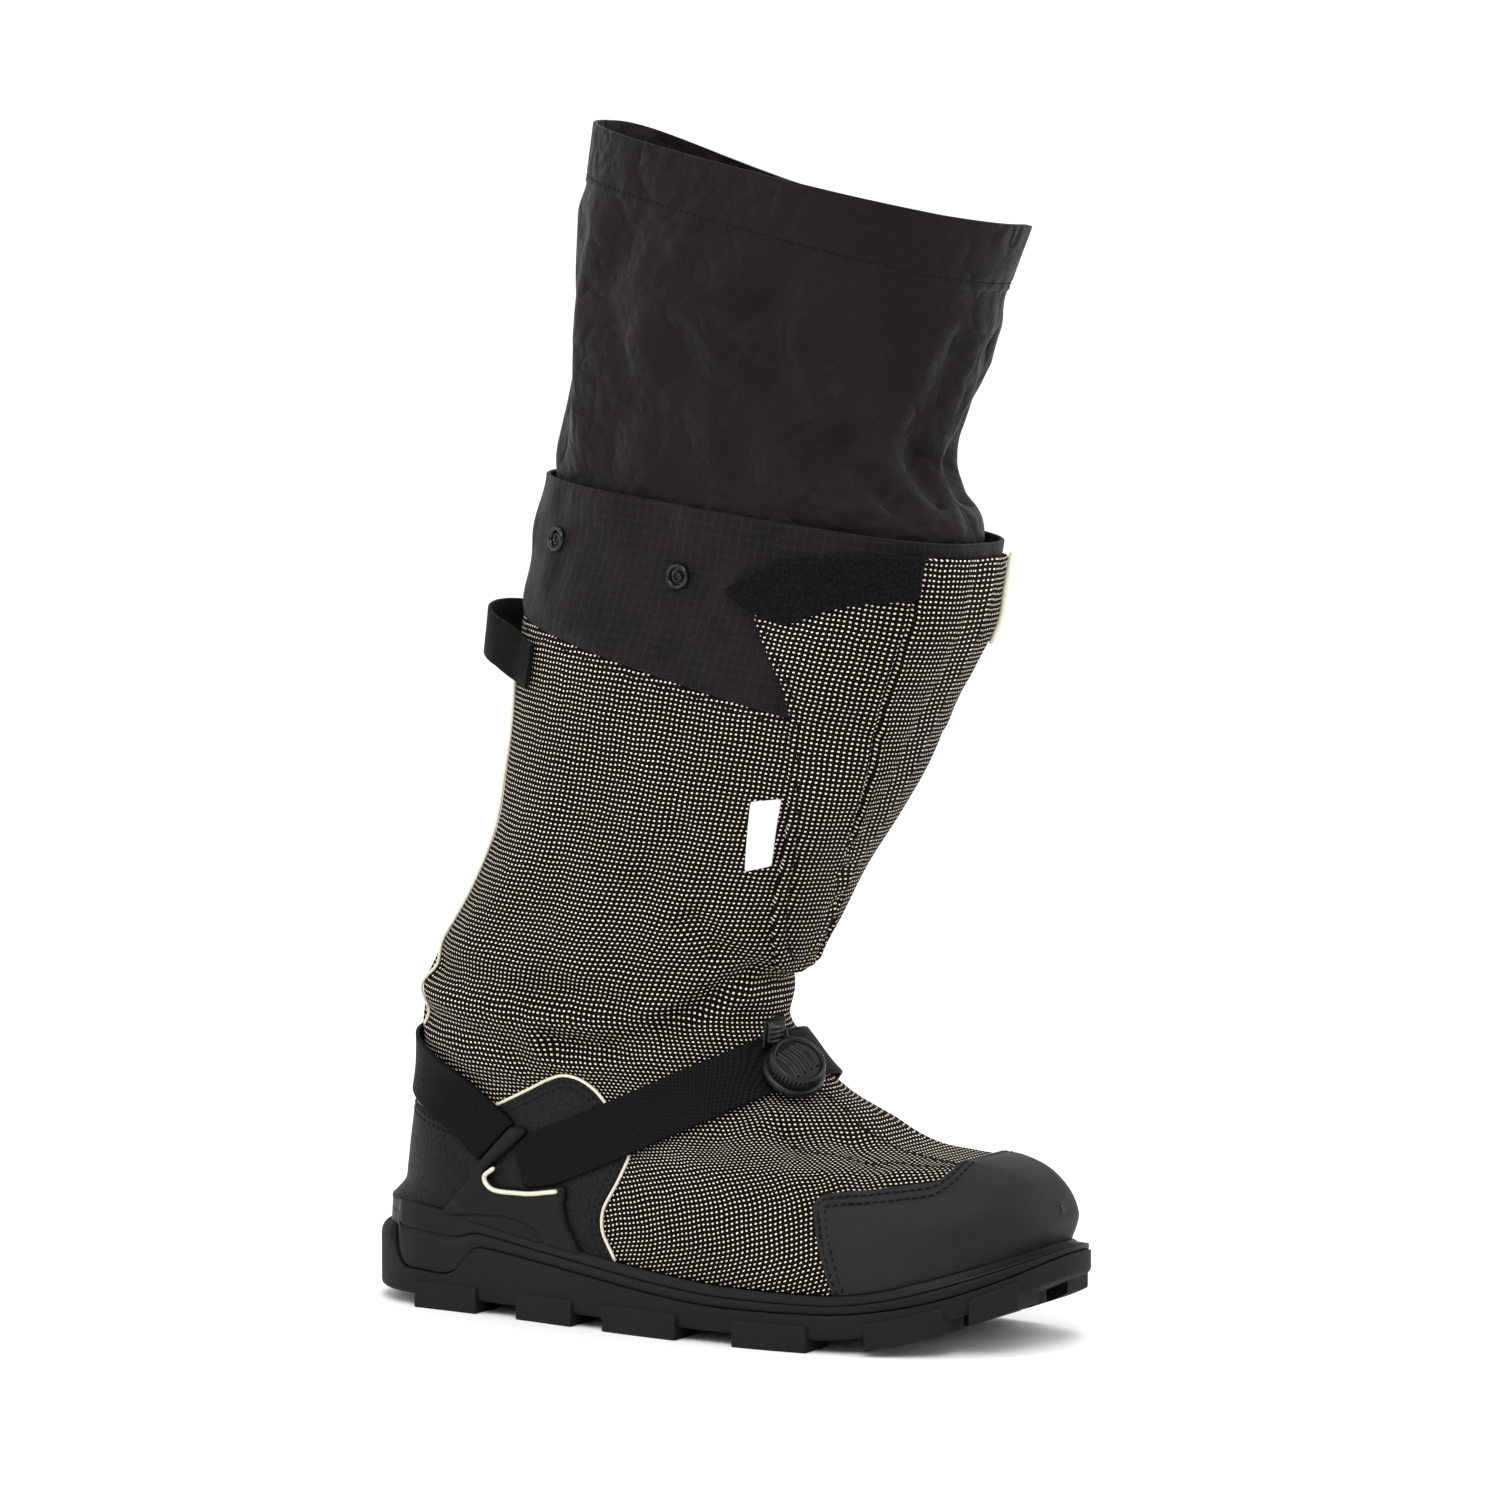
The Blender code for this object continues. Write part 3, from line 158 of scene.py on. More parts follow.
COUNTER_EDGE = [(-0.200, -0.200), (-0.200, 0.160), (-0.100, 0.148), (-0.006, 0.124), (0.035, 0.113),
                (0.104, 0.142), (0.156, 0.167), (0.190, 0.185), (0.216, 0.194), (0.240, 0.190),
                (0.262, 0.176), (0.296, 0.140), (0.323, 0.100), (0.306, 0.063), (0.281, 0.022),
                (0.279, -0.008), (0.301, -0.049), (0.340, -0.200)]
WING_EDGE = [(0.012, -0.200), (0.018, -0.008), (0.043, 0.017), (0.070, 0.045), (0.091, 0.075),
             (0.133, 0.118), (0.148, 0.122), (0.163, 0.114), (0.110, 0.068), (0.095, 0.054),
             (0.108, 0.037), (0.160, 0.037), (0.228, 0.048), (0.224, 0.017), (0.233, -0.010),
             (0.251, -0.042), (0.300, -0.200)]
FLAP_OUTER_EDGE = [(0.466, 0.335), (0.479, 0.372), (0.498, 0.442), (0.518, 0.497), (0.537, 0.552),
                   (0.549, 0.633), (0.555, 0.691), (0.549, 0.729), (0.535, 0.765), (0.517, 0.821),
                   (0.508, 0.846), (0.545, 0.880), (0.590, 0.895), (1.0, 0.895), (1.0, 0.335)]
FLAP_INNER_EDGE = [(0.466, 0.335), (0.479, 0.372), (0.498, 0.442), (0.524, 0.560), (0.552, 0.730),
                   (0.575, 0.895), (1.0, 0.895), (1.0, 0.335)]
TAB_EDGE = [(0.476, 0.853), (0.544, 0.888), (0.590, 0.898), (0.720, 0.899), (0.714, 0.884),
            (0.710, 0.842), (0.658, 0.839), (0.609, 0.828), (0.564, 0.809), (0.524, 0.820),
            (0.494, 0.836)]
LABEL_EDGE = [(0.475, 0.480), (0.506, 0.488), (0.534, 0.578), (0.496, 0.574)]
SLOT_LINE = [(0.113, 0.062), (0.097, 0.048), (0.112, 0.033), (0.160, 0.032), (0.218, 0.040)]
WING_GROOVE = [(0.039, -0.012), (0.077, -0.006), (0.127, -0.004), (0.160, -0.009), (0.182, -0.020),
               (0.195, -0.040)]
WING_BAR = [(0.060, 0.020), (0.095, 0.062), (0.145, 0.112)]
INSTEP_LINE = [(0.150, 0.065), (0.276, 0.117), (0.412, 0.181), (0.492, 0.224), (0.580, 0.272)]
HEEL_LINE = [(0.122, 0.086), (0.100, 0.104), (0.038, 0.147), (-0.052, 0.190), (-0.150, 0.230)]

# Creases of the upper: (turn, level) points, depth and width in metres, on both sides or the outer only
CREASES = [
    ([(0.500, 10.75), (0.455, 11.0), (0.420, 10.8), (0.395, 10.2), (0.350, 9.55), (0.295, 9.1),
      (0.245, 9.0)], 0.0026, 0.0055, True),
    ([(0.350, 12.1), (0.395, 11.5), (0.440, 11.25)], 0.0016, 0.0050, True),
    ([(0.075, 10.5), (0.190, 10.35), (0.255, 10.4), (0.315, 10.1)], 0.0018, 0.0065, True),
    ([(0.060, 9.3), (0.130, 9.1), (0.200, 8.6)], 0.0013, 0.0060, True),
    ([(0.377, 7.3), (0.335, 6.1), (0.300, 5.1)], 0.0013, 0.0060, False),
    ([(0.386, 6.2), (0.362, 4.9), (0.350, 3.9)], 0.0012, 0.0060, False),
    ([(0.440, 6.0), (0.400, 4.6), (0.370, 3.6)], 0.0010, 0.0050, True),
    ([(0.215, 14.3), (0.200, 12.8), (0.185, 11.5)], 0.0010, 0.0120, False),
    ([(0.300, 13.4), (0.280, 12.2), (0.300, 11.2)], 0.0012, 0.0090, True),
]
VAMP_SEAM_HIGH = [(0.484, 8.0), (0.476, 7.3), (0.470, 6.5), (0.485, 5.9), (0.498, 5.2), (0.500, 4.6)]
VAMP_SEAM_LOW = [(0.383, 6.5), (0.383, 5.6), (0.403, 5.1), (0.425, 4.7), (0.462, 4.2)]
FOLD_LINE = [(0.448, 19.0), (0.446, 18.2), (0.450, 17.2), (0.455, 16.7), (0.468, 15.9), (0.491, 13.8),
             (0.520, 11.4)]
DIAL_PLACE = (0.456, 8.25)
SNAP_PLACES = [(0.120, 17.79), (0.244, 17.77)]
LOOP_LEVEL = 15.4
BACK_PIPING_TURN = 0.060
FLAP_TRIM_TURN = 19 / 36
CAP_SEAMS = (0.0022, 0.0052)
COUNTER_SEAMS = (0.0016, 0.0042)
FLAP_SEAM = 0.0035
SEAM_DROP = 0.12
PHOTO_TURN = radians(30)


# Curves and distances
def smooth_curve(xs, ys):
    """Smooth curve through the points (xs, ys): cubic pieces, level where the points turn back."""
    xs, ys = np.asarray(xs, float), np.asarray(ys, float)
    slopes = np.diff(ys) / np.diff(xs)
    inner = np.where(slopes[:-1] * slopes[1:] <= 0, 0.0, (slopes[:-1] + slopes[1:]) / 2)
    tangents = np.concatenate([slopes[:1], inner, slopes[-1:]])

    def read(x):
        x = np.clip(x, xs[0], xs[-1])
        k = np.clip(np.searchsorted(xs, x, side="right") - 1, 0, len(slopes) - 1)
        step = xs[k + 1] - xs[k]
        t = (x - xs[k]) / step
        return (ys[k] * (1 + 2 * t) * (1 - t) ** 2 + tangents[k] * step * t * (1 - t) ** 2
                + ys[k + 1] * t * t * (3 - 2 * t) - tangents[k + 1] * step * t * t * (1 - t))

    return read


def table_curves(table, place=None):
    """A curve for each column of a table, over its place column or over its row numbers."""
    rows = np.array(table[1:], float)
    places = rows[:, table[0].index(place)] if place else np.arange(len(rows), dtype=float)
    return {name: smooth_curve(places, rows[:, k]) for k, name in enumerate(table[0]) if name != place}


def ease(x, low, high):
    """Rises smoothly from 0 at low to 1 at high."""
    t = np.clip((x - low) / (high - low), 0.0, 1.0)
    return t * t * (3 - 2 * t)


def bell(x, width, power=2):
    """1 at zero, fading away within the width on both sides."""
    return np.exp(-(x / width) ** power)


def run_lengths(points):
    """Length of a path up to each of its points."""
    return np.concatenate([[0], np.cumsum(np.linalg.norm(np.diff(points, axis=0), axis=1))])


def lines_distance(u, v, line):
    """Distance of points to an open line of (u, v) points."""
    best = np.full(np.shape(u), 1e9)
    for (au, av), (bu, bv) in zip(line[:-1], line[1:]):
        du, dv = bu - au, bv - av
        t = np.clip(((u - au) * du + (v - av) * dv) / (du * du + dv * dv), 0.0, 1.0)
        best = np.minimum(best, np.hypot(u - au - t * du, v - av - t * dv))
    return best


def outline_distance(points, outline):
    """Signed distance in side view to a closed outline, positive inside."""
    x, z = points[..., 0], points[..., 2]
    closed = np.vstack([outline, outline[:1]])
    inside = np.zeros(x.shape, bool)
    for (ax, az), (bx, bz) in zip(closed[:-1], closed[1:]):
        rise = bz - az if abs(bz - az) > 1e-12 else 1e-12
        inside ^= ((az > z) != (bz > z)) & (x < (bx - ax) * (z - az) / rise + ax)
    distance = lines_distance(x, z, closed)
    return np.where(inside, distance, -distance)


def rounded(corners, radius):
    """Outline with its corners cut to arcs of at most this radius."""
    corners = np.asarray(corners, float)
    points = []
    for k in range(len(corners)):
        here, before, after = corners[k], corners[k - 1], corners[(k + 1) % len(corners)]
        to_before, to_after = before - here, after - here
        room = min(np.linalg.norm(to_before), np.linalg.norm(to_after)) * 0.45
        cut_length = min(radius, room)
        start = here + to_before / np.linalg.norm(to_before) * cut_length
        end = here + to_after / np.linalg.norm(to_after) * cut_length
        for s in np.linspace(0, 1, ARC_STEPS + 1):
            points.append(start * (1 - s) ** 2 + 2 * here * s * (1 - s) + end * s * s)
    return np.array(points)


# The shape of the shoe, as in the CAD part but for arrays of places
HEEL_END = -HEEL_ROUND
TOE_END = SOLE_LENGTH - HEEL_ROUND
PLAN_AT = table_curves(PLAN, "along")
SIDE_AT = table_curves(SIDE, "along")


def along(x):
    return (x - HEEL_END) / SOLE_LENGTH


def round_heel(x, inset):
    left = np.clip((x - HEEL_END - inset) / (HEEL_ROUND - inset), 0.0, 1.0)
    return np.sqrt(1 - (1 - left) ** 2)


def round_toe(x, inset, front=None):
    front = TOE_END - inset if front is None else front
    left = np.clip((front - x) / (TOE_ROUND - inset), 0.0, 1.0)
    return (1 - (1 - left) ** TOE_POWER) ** (1 / TOE_POWER)


def half_width(x, side, inset):
    share = along(x)
    return BALL_WIDTH * np.where(side < 0, PLAN_AT["outer"](share), PLAN_AT["inner"](share)) - inset


def middle(x):
    return TOE_SWING * np.clip((along(x) - SWING_START) / (1 - SWING_START), 0.0, 1.0) ** 1.5


def ground(x):
    return TOE_SPRING * np.clip((along(x) - SPRING_START) / (1 - SPRING_START), 0.0, 1.0) ** 1.85


def side_line(x, name):
    return ground(x) + HEEL_THICKNESS * SIDE_AT[name](along(x))


def station(turn):
    turn = np.mod(turn, 1.0)
    half = 2 * np.minimum(turn, 1 - turn)
    share = (1 - END_SHIFT) * (1 - np.cos(pi * half)) / 2 + END_SHIFT * half
    return share, half, np.where(turn < 0.5, -1.0, 1.0)


def bumper(share):
    return 1 - ease(share, BUMPER_FROM, BUMPER_TO)


def sole_loop(inset, height, rear_inset=None, toe_more=0.0, count=AROUND):
    """Loop of points round the sole at an inset from its outline; height(x) gives z."""
    share, _, side = station(np.arange(count) / count)
    inset = inset + toe_more * ease(share, 0.82, 1.0)
    if rear_inset is not None:
        inset = inset + bumper(share) * (rear_inset - inset)
    x = HEEL_END + share * SOLE_LENGTH
    x = np.clip(x, HEEL_END + inset * (1 + share), TOE_END - inset * (2 - share))
    y = middle(x) + side * half_width(x, side, inset) * round_heel(x, inset) * round_toe(x, inset)
    return np.stack([x, y, height(x) + 0 * x], axis=1)


def outsole_top(x):
    return side_line(x, "mid") + BUMPER_HEIGHT * bumper(along(x))


def seat(x):
    return side_line(x, "top") + SEAT_GAP


RING_AT = table_curves(RINGS)
SEAT_HEIGHT = float(seat(SOLE_LENGTH * RING_AT["back_x"](0.0)))
SEAT_FRONT = float(seat(SOLE_LENGTH * RING_AT["front_x"](0.0)))
FOOT_RINGS = np.arange(9.0, 0.0, -1.0)
INSTEP = smooth_curve(SOLE_LENGTH * RING_AT["front_x"](FOOT_RINGS),
                      SEAT_HEIGHT + UPPER_HEIGHT * RING_AT["front_z"](FOOT_RINGS))
INSTEP_START = SOLE_LENGTH * float(RING_AT["front_x"](9.0))
SHIN_SLOPE = 1.6


def upper_point(turn, level):
    """Points of the upper's outer face. turn runs from the heel over the outer side."""
    turn, level = np.broadcast_arrays(np.asarray(turn, float), np.asarray(level, float))
    share, _, side = station(turn)
    ring = {name: read(level) for name, read in RING_AT.items()}
    back_x, front_x = SOLE_LENGTH * ring["back_x"], SOLE_LENGTH * ring["front_x"]
    x = back_x + share * (front_x - back_x)
    z = SEAT_HEIGHT + UPPER_HEIGHT * (ring["back_z"] + share * (ring["front_z"] - ring["back_z"]))
    z = z + ring["follow"] * (seat(x) - SEAT_HEIGHT - share * (SEAT_FRONT - SEAT_HEIGHT))
    behind = share < WIDE_AT
    away = np.where(behind, 1 - share / WIDE_AT, (share - WIDE_AT) / (1 - WIDE_AT))
    power = np.where(behind, 2.2, 2.2 + 0.9 * ease(level, 11, 15))
    shaft = SHAFT_WIDTH * ring["width"] * (1 - np.minimum(away, 1.0) ** power) ** (1 / power)
    inset = FEATHER_INSET - SWELL * ring["swell"]
    heel = 1 - np.clip((x - back_x) / (HEEL_ROUND - inset), 0.0, 1.0)
    flat = half_width(x, side, inset) * np.sqrt(1 - heel ** 2)
    low = seat(x)
    instep = INSTEP(x) + SHIN_SLOPE * np.maximum(INSTEP_START - x, 0.0)
    rise = np.clip((z - low) / np.maximum(instep - low, 0.001), 0.0, 1.0)
    boxy = 2.1 + 0.8 * ease(along(x), 0.60, 0.90)
    part = np.clip(level, 0.0, 1.0)
    low_toe = round_toe(x, inset, front_x)
    high_toe = round_toe(x, inset, np.maximum(TOE_END - inset, front_x)) * np.sqrt(1 - rise ** boxy)
    foot = flat * ((1 - part) * low_toe + part * high_toe)
    width = foot + ring["shaft"] * (shaft - foot)
    return np.stack([x, middle(x) * (1 - ring["shaft"]) + side * width, z], axis=-1)


GAITER_AT = table_curves(GAITER_RINGS)
GAITER_TOP = len(GAITER_RINGS) - 2
COLLAR_HEIGHT = SEAT_HEIGHT + UPPER_HEIGHT


def unit(vectors):
    return vectors / np.maximum(np.linalg.norm(vectors, axis=-1, keepdims=True), 1e-12)


def gaiter_point(turn, level):
    """Points of the gaiter's outer face. Below its first ring it runs down inside the collar."""
    turn, level = np.broadcast_arrays(np.asarray(turn, float), np.asarray(level, float))
    _, half, side = station(turn)
    angle = pi * half
    ring = {name: read(np.maximum(level, 1.0)) for name, read in GAITER_AT.items()}
    zero = np.zeros_like(level)
    back, front = [np.stack([SOLE_LENGTH * ring[end + "_x"], zero,
                             COLLAR_HEIGHT + GAITER_HEIGHT * ring[end + "_z"]], axis=-1)
                   for end in ("back", "front")]
    ahead = -np.sign(np.cos(angle)) * np.abs(np.cos(angle)) ** GAITER_POWER / 2
    aside = side * np.abs(np.sin(angle)) ** GAITER_POWER * GAITER_WIDTH * ring["width"]
    points = (back + front) / 2 + ahead[..., None] * (front - back)
    sag = np.maximum(side, 0.0) * RIM_SAG * np.sin(angle) ** 2 * ease(level, GAITER_TOP - 3, GAITER_TOP)
    points = points + np.stack([zero, aside, -sag], axis=-1)
    seam = normals(upper_point, turn, GAITER_SEAM + zero)
    inside = upper_point(turn, GAITER_SEAM) - (COLLAR_WALL + GAP) * seam
    low = np.clip(level, 0.0, 1.0)[..., None]
    return np.where(low < 1, inside * (1 - low) + points * low, points)


def normals(point, turn, level):
    """Outward directions of a surface, level where the upper stands on the midsole."""
    turn, level = np.broadcast_arrays(np.asarray(turn, float), np.asarray(level, float))
    around = point(turn + 0.004, level) - point(turn - 0.004, level)
    upward = point(turn, np.minimum(level + 0.06, COLLAR_TOP)) - point(turn, np.maximum(level - 0.06, 0.0))
    outward = np.cross(around, upward)
    outward[..., 2] *= np.clip(level, 0.0, 1.0)
    return unit(outward)


# Smooth noise
NOISE_SIZE = 32
NOISE = np.random.RandomState(7).rand(NOISE_SIZE, NOISE_SIZE) * 2 - 1


def noise(u, v, seed):
    """Smooth value noise of two coordinates, from -1 to 1."""
    u = np.asarray(u, float) + 5.37 * seed + 100
    v = np.asarray(v, float) + 9.71 * seed + 100
    iu, iv = np.floor(u).astype(int), np.floor(v).astype(int)
    fu, fv = u - iu, v - iv
    fu, fv = fu ** 3 * (fu * (6 * fu - 15) + 10), fv ** 3 * (fv * (6 * fv - 15) + 10)
    a, b = iu % NOISE_SIZE, (iu + 1) % NOISE_SIZE
    c, d = iv % NOISE_SIZE, (iv + 1) % NOISE_SIZE
    low = NOISE[a, c] * (1 - fu) + NOISE[b, c] * fu
    high = NOISE[a, d] * (1 - fu) + NOISE[b, d] * fu
    return low * (1 - fv) + high * fv


class Surface:
    """A ringed surface with its arc lengths, which give each place its metric cloth coordinates."""

    def __init__(self, point, top, rows, columns=AROUND, calm_from=0.0, calm_to=0.0, anchor=12.5):
        self.point, self.top, self.columns = point, top, columns
        self.levels = np.linspace(0, top, rows)
        turns = np.arange(columns + 1) / columns
        grid = point(turns[None, :], self.levels[:, None])
        steps = np.linalg.norm(np.diff(grid, axis=1), axis=2)
        self.around = np.concatenate([np.zeros((rows, 1)), np.cumsum(steps, axis=1)], axis=1)
        climbs = np.linalg.norm(np.diff(grid, axis=0), axis=2)
        clamped = np.clip(np.minimum(turns, 1 - turns), 0.14, 0.36)
        low_climbs = climbs[:, np.round(clamped * columns).astype(int)]
        middles = (self.levels[1:] + self.levels[:-1]) / 2
        true = ease(middles, calm_from, calm_to)[:, None] if calm_to else np.ones((rows - 1, 1))
        climbs_used = true * climbs + (1 - true) * low_climbs
        self.rise = np.concatenate([np.zeros((1, columns + 1)), np.cumsum(climbs_used, axis=0)])
        self.rise -= self.look(self.rise, turns, anchor)[None, :]
        self.fold = np.zeros((rows, columns + 1))

    def look(self, table, turn, level):
        """Value of a table at places, by straight interpolation."""
        turn, level = np.broadcast_arrays(np.asarray(turn, float), np.asarray(level, float))
        column = np.clip(turn, 0, 1) * self.columns
        row = np.clip(level / self.top, 0, 1) * (len(self.levels) - 1)
        c = np.minimum(column.astype(int), self.columns - 1)
        r = np.minimum(row.astype(int), len(self.levels) - 2)
        fc, fr = column - c, row - r
        low = table[r, c] * (1 - fc) + table[r, c + 1] * fc
        high = table[r + 1, c] * (1 - fc) + table[r + 1, c + 1] * fc
        return low * (1 - fr) + high * fr

    def cloth(self, turn, level, inner):
        """Metric coordinates on the cloth, measured from the middle of the outer or the inner side."""
        turn = np.where(inner, np.mod(turn, 1.0) + (np.mod(turn, 1.0) < 0.01), np.mod(turn, 1.0))
        turn = np.where(~inner & (turn > 0.9), 0.0, turn)
        centre = np.where(inner, 0.75, 0.25)
        u = self.look(self.around, turn, level) - self.look(self.around, centre, level)
        return np.where(inner, -u, u), self.look(self.rise, turn, level)

    def at(self, turn, level, offset=0.0):
        """Points at an offset outwards from the folded surface."""
        turn, level = np.broadcast_arrays(np.asarray(turn, float), np.asarray(level, float))
        lift = offset + self.look(self.fold, np.mod(turn, 1.0), level)
        return self.point(turn, level) + np.asarray(lift)[..., None] * normals(self.point, turn, level)


def side_view(shares):
    """Outline in shares of the sole's length and the upper's height, in metres."""
    return np.array([(x * SOLE_LENGTH, SEAT_HEIGHT + z * UPPER_HEIGHT) for x, z in shares])


def fine_line(line, count=24):
    places = np.arange(len(line), dtype=float)
    xs, zs = (smooth_curve(places, [p[k] for p in line]) for k in (0, 1))
    steps = np.linspace(0, len(line) - 1, count)
    return np.stack([xs(steps), zs(steps)], axis=1)


def band(line, width):
    """Side-view outline of a strap of this width along a line of points."""
    line = side_view(fine_line(line))
    direction = unit(np.gradient(line, axis=0))
    across = np.stack([-direction[:, 1], direction[:, 0]], axis=1)
    return np.concatenate([line + width / 2 * across, (line - width / 2 * across)[::-1]])


CAP_OUTLINE = rounded(side_view(TOE_CAP_EDGE), 0.004)
COUNTER_OUTLINE = rounded(side_view(COUNTER_EDGE), 0.004)
WING_OUTLINE = rounded(side_view(WING_EDGE), 0.002)
INSTEP_BAND = band(INSTEP_LINE, WEBBING_WIDTH)
HEEL_BAND = band(HEEL_LINE, WEBBING_WIDTH)
FLAP_OUTER = rounded(side_view(FLAP_OUTER_EDGE), 0.004)
FLAP_INNER = rounded(side_view(FLAP_INNER_EDGE), 0.004)

SHOE = Surface(upper_point, COLLAR_TOP, 305, calm_from=6.5, calm_to=10)
GAITER = Surface(gaiter_point, GAITER_TOP, 161, columns=240, anchor=4)


def flap_field(points):
    return np.where(points[..., 1] < 0, outline_distance(points, FLAP_OUTER),
                    outline_distance(points, FLAP_INNER))


def crease_distance(surface, line, u, v, last=0.4999):
    """Distance on the cloth of places (u, v) to a line of (turn, level) points of the outer side."""
    turn, level = np.array(line).T
    line_u, line_v = surface.cloth(np.minimum(turn, last), level, np.zeros(len(line), bool))
    return lines_distance(u, v, list(zip(line_u, line_v)))


def surface_grid(surface):
    """Turns, levels, which side, and cloth coordinates over the whole of a surface."""
    turn, level = np.meshgrid(np.arange(surface.columns + 1) / surface.columns, surface.levels)
    inner = turn >= 0.5
    return (turn, level, inner, *surface.cloth(turn, level, inner))


def set_fold(surface, total):
    total[:, -1] = total[:, 0] = (total[:, -1] + total[:, 0]) / 2
    surface.fold = total


def fold_upper():
    """Creases, slight waves and the collar's puckers, kept away from rubber, straps and seams."""
    turn, level, inner, u, v = surface_grid(SHOE)
    points = SHOE.point(turn, level)
    total = np.zeros_like(u)
    for line, depth, width, both in CREASES:
        distance = crease_distance(SHOE, line, u, v)
        wander = 1 + 0.35 * noise(u / 0.02, v / 0.02, 3)
        dent = -bell(distance, width) + 0.45 * bell(distance - 1.9 * width, width)
        total += 1.6 * depth * wander * dent * np.where(inner & (not both), 0.0, np.where(inner, 0.8, 1.0))
    wave = 0.0011 * noise(u / 0.045, v / 0.060, 1) + 0.0005 * noise(u / 0.020, v / 0.028, 2)
    total += wave * ease(level, 1.5, 5)
    calm = np.ones_like(u)
    for outline in (CAP_OUTLINE, COUNTER_OUTLINE, INSTEP_BAND, HEEL_BAND):
        calm *= ease(-outline_distance(points, outline), -0.001, 0.006)
    total *= np.where(level < 12, np.maximum(calm, 0.12), 1.0) * ease(level, 0.0, 1.2)
    pucker = 0.0009 * noise(u / 0.010, v / 0.016, 4) + 0.0014 * noise(u / 0.026, v / 0.018, 5)
    seam = bell(level - SHAFT_TOP, 0.10)
    collar = ease(level, SHAFT_TOP, SHAFT_TOP + 0.35)
    total = total * (1 - 0.6 * collar) + collar * (0.0005 + pucker) - 0.0006 * seam
    total *= 1 - 0.45 * ease(flap_field(points), -0.002, 0.004)
    total *= 1 - ease(level, COLLAR_TOP - 0.25, COLLAR_TOP) * 0.5
    set_fold(SHOE, total)


GAITER_FOLDS = [
    ([(0.300, 7.0), (0.280, 5.4), (0.330, 3.6), (0.360, 2.0)], 0.0030, 0.0100),
    ([(0.180, 6.6), (0.150, 5.0), (0.200, 3.0), (0.170, 1.4)], 0.0022, 0.0110),
    ([(0.400, 6.4), (0.420, 4.6), (0.380, 3.0), (0.410, 1.6)], 0.0030, 0.0080),
    ([(0.240, 4.4), (0.290, 3.1), (0.270, 1.5)], 0.0022, 0.0090),
    ([(0.470, 5.6), (0.455, 3.6), (0.480, 1.8)], 0.0026, 0.0070),
    ([(0.090, 5.8), (0.070, 3.8), (0.110, 1.6)], 0.0020, 0.0090),
    ([(0.330, 5.2), (0.370, 4.6), (0.400, 4.8)], 0.0018, 0.0070),
    ([(0.210, 5.9), (0.260, 5.3), (0.300, 5.6)], 0.0016, 0.0070),
]


def fold_gaiter():
    """Soft creases of the thin cloth, fuller low down and calm at the hem."""
    _, level, inner, u, v = surface_grid(GAITER)
    ridge = 1 - 2 * np.abs(noise(u / 0.034 + 0.6 * noise(u / 0.05, v / 0.05, 8), v / 0.085, 6))
    total = 0.0021 * ridge + 0.0016 * noise(u / 0.05, v / 0.07, 9) + 0.0004 * noise(u / 0.012, v / 0.014, 10)
    for line, depth, width in GAITER_FOLDS:
        distance = crease_distance(GAITER, line, u, v)
        total -= 1.3 * depth * bell(distance, width) * np.where(inner, 0.7, 1.0)
        total += 0.5 * depth * bell(distance - 2 * width, width)
    total *= 0.25 + 0.75 * (1 - ease(level, GAITER_TOP - 2.0, GAITER_TOP - 0.9))
    total = np.clip(total, -0.008, 0.005) * ease(level, 0.9, 1.8)
    set_fold(GAITER, total)


# Materials
def new_material(name, colour, roughness, **shader_values):
    material = bpy.data.materials.new(name)
    material.use_nodes = True
    shader = material.node_tree.nodes["Principled BSDF"]
    shader.inputs["Base Color"].default_value = (*colour, 1.0)
    shader.inputs["Roughness"].default_value = roughness
    for key, value in shader_values.items():
        shader.inputs[key.replace("_", " ")].default_value = value
    return material, material.node_tree, shader


def add(tree, kind, inputs=(), **settings):
    """Adds a node; inputs are sockets or plain values by name or number."""
    made = tree.nodes.new(kind)
    for key, value in settings.items():
        setattr(made, key, value)
    for key, value in dict(inputs).items():
        if isinstance(value, bpy.types.NodeSocket):
            tree.links.new(value, made.inputs[key])
        else:
            made.inputs[key].default_value = value
    return made


def paint(tree, shader, colour, name="Base Color"):
    tree.links.new(colour, shader.inputs[name])


def calc(tree, operation, a, b=0.0, c=None):
    inputs = {0: a, 1: b}
    if c is not None:
        inputs[2] = c
    return add(tree, "ShaderNodeMath", inputs, operation=operation).outputs[0]


def times(tree, a, b):
    return calc(tree, "MULTIPLY", a, b)


def times_plus(tree, a, b, c):
    return calc(tree, "MULTIPLY_ADD", a, b, c)


def scaled(tree, socket, scale):
    return add(tree, "ShaderNodeVectorMath", {0: socket, 1: scale}, operation="MULTIPLY").outputs[0]


def cloth_map(tree):
    """The cloth coordinates, in metres, as two sockets and a vector."""
    vector = add(tree, "ShaderNodeUVMap", uv_map="Cloth").outputs[0]
    parts = add(tree, "ShaderNodeSeparateXYZ", {0: vector})
    return vector, parts.outputs[0], parts.outputs[1]


def place_map(tree):
    return add(tree, "ShaderNodeTexCoord").outputs["Object"]


def mottle(tree, vector, scale, detail):
    texture = add(tree, "ShaderNodeTexNoise", {"Vector": vector, "Scale": scale, "Detail": detail})
    return texture.outputs["Fac"]


def ramp(tree, fac, low, high, at=(0.0, 1.0)):
    made = add(tree, "ShaderNodeValToRGB", {0: fac})
    for element, place, colour in zip(made.color_ramp.elements, at, (low, high)):
        element.position = place
        element.color = (*colour, 1.0)
    return made.outputs[0]


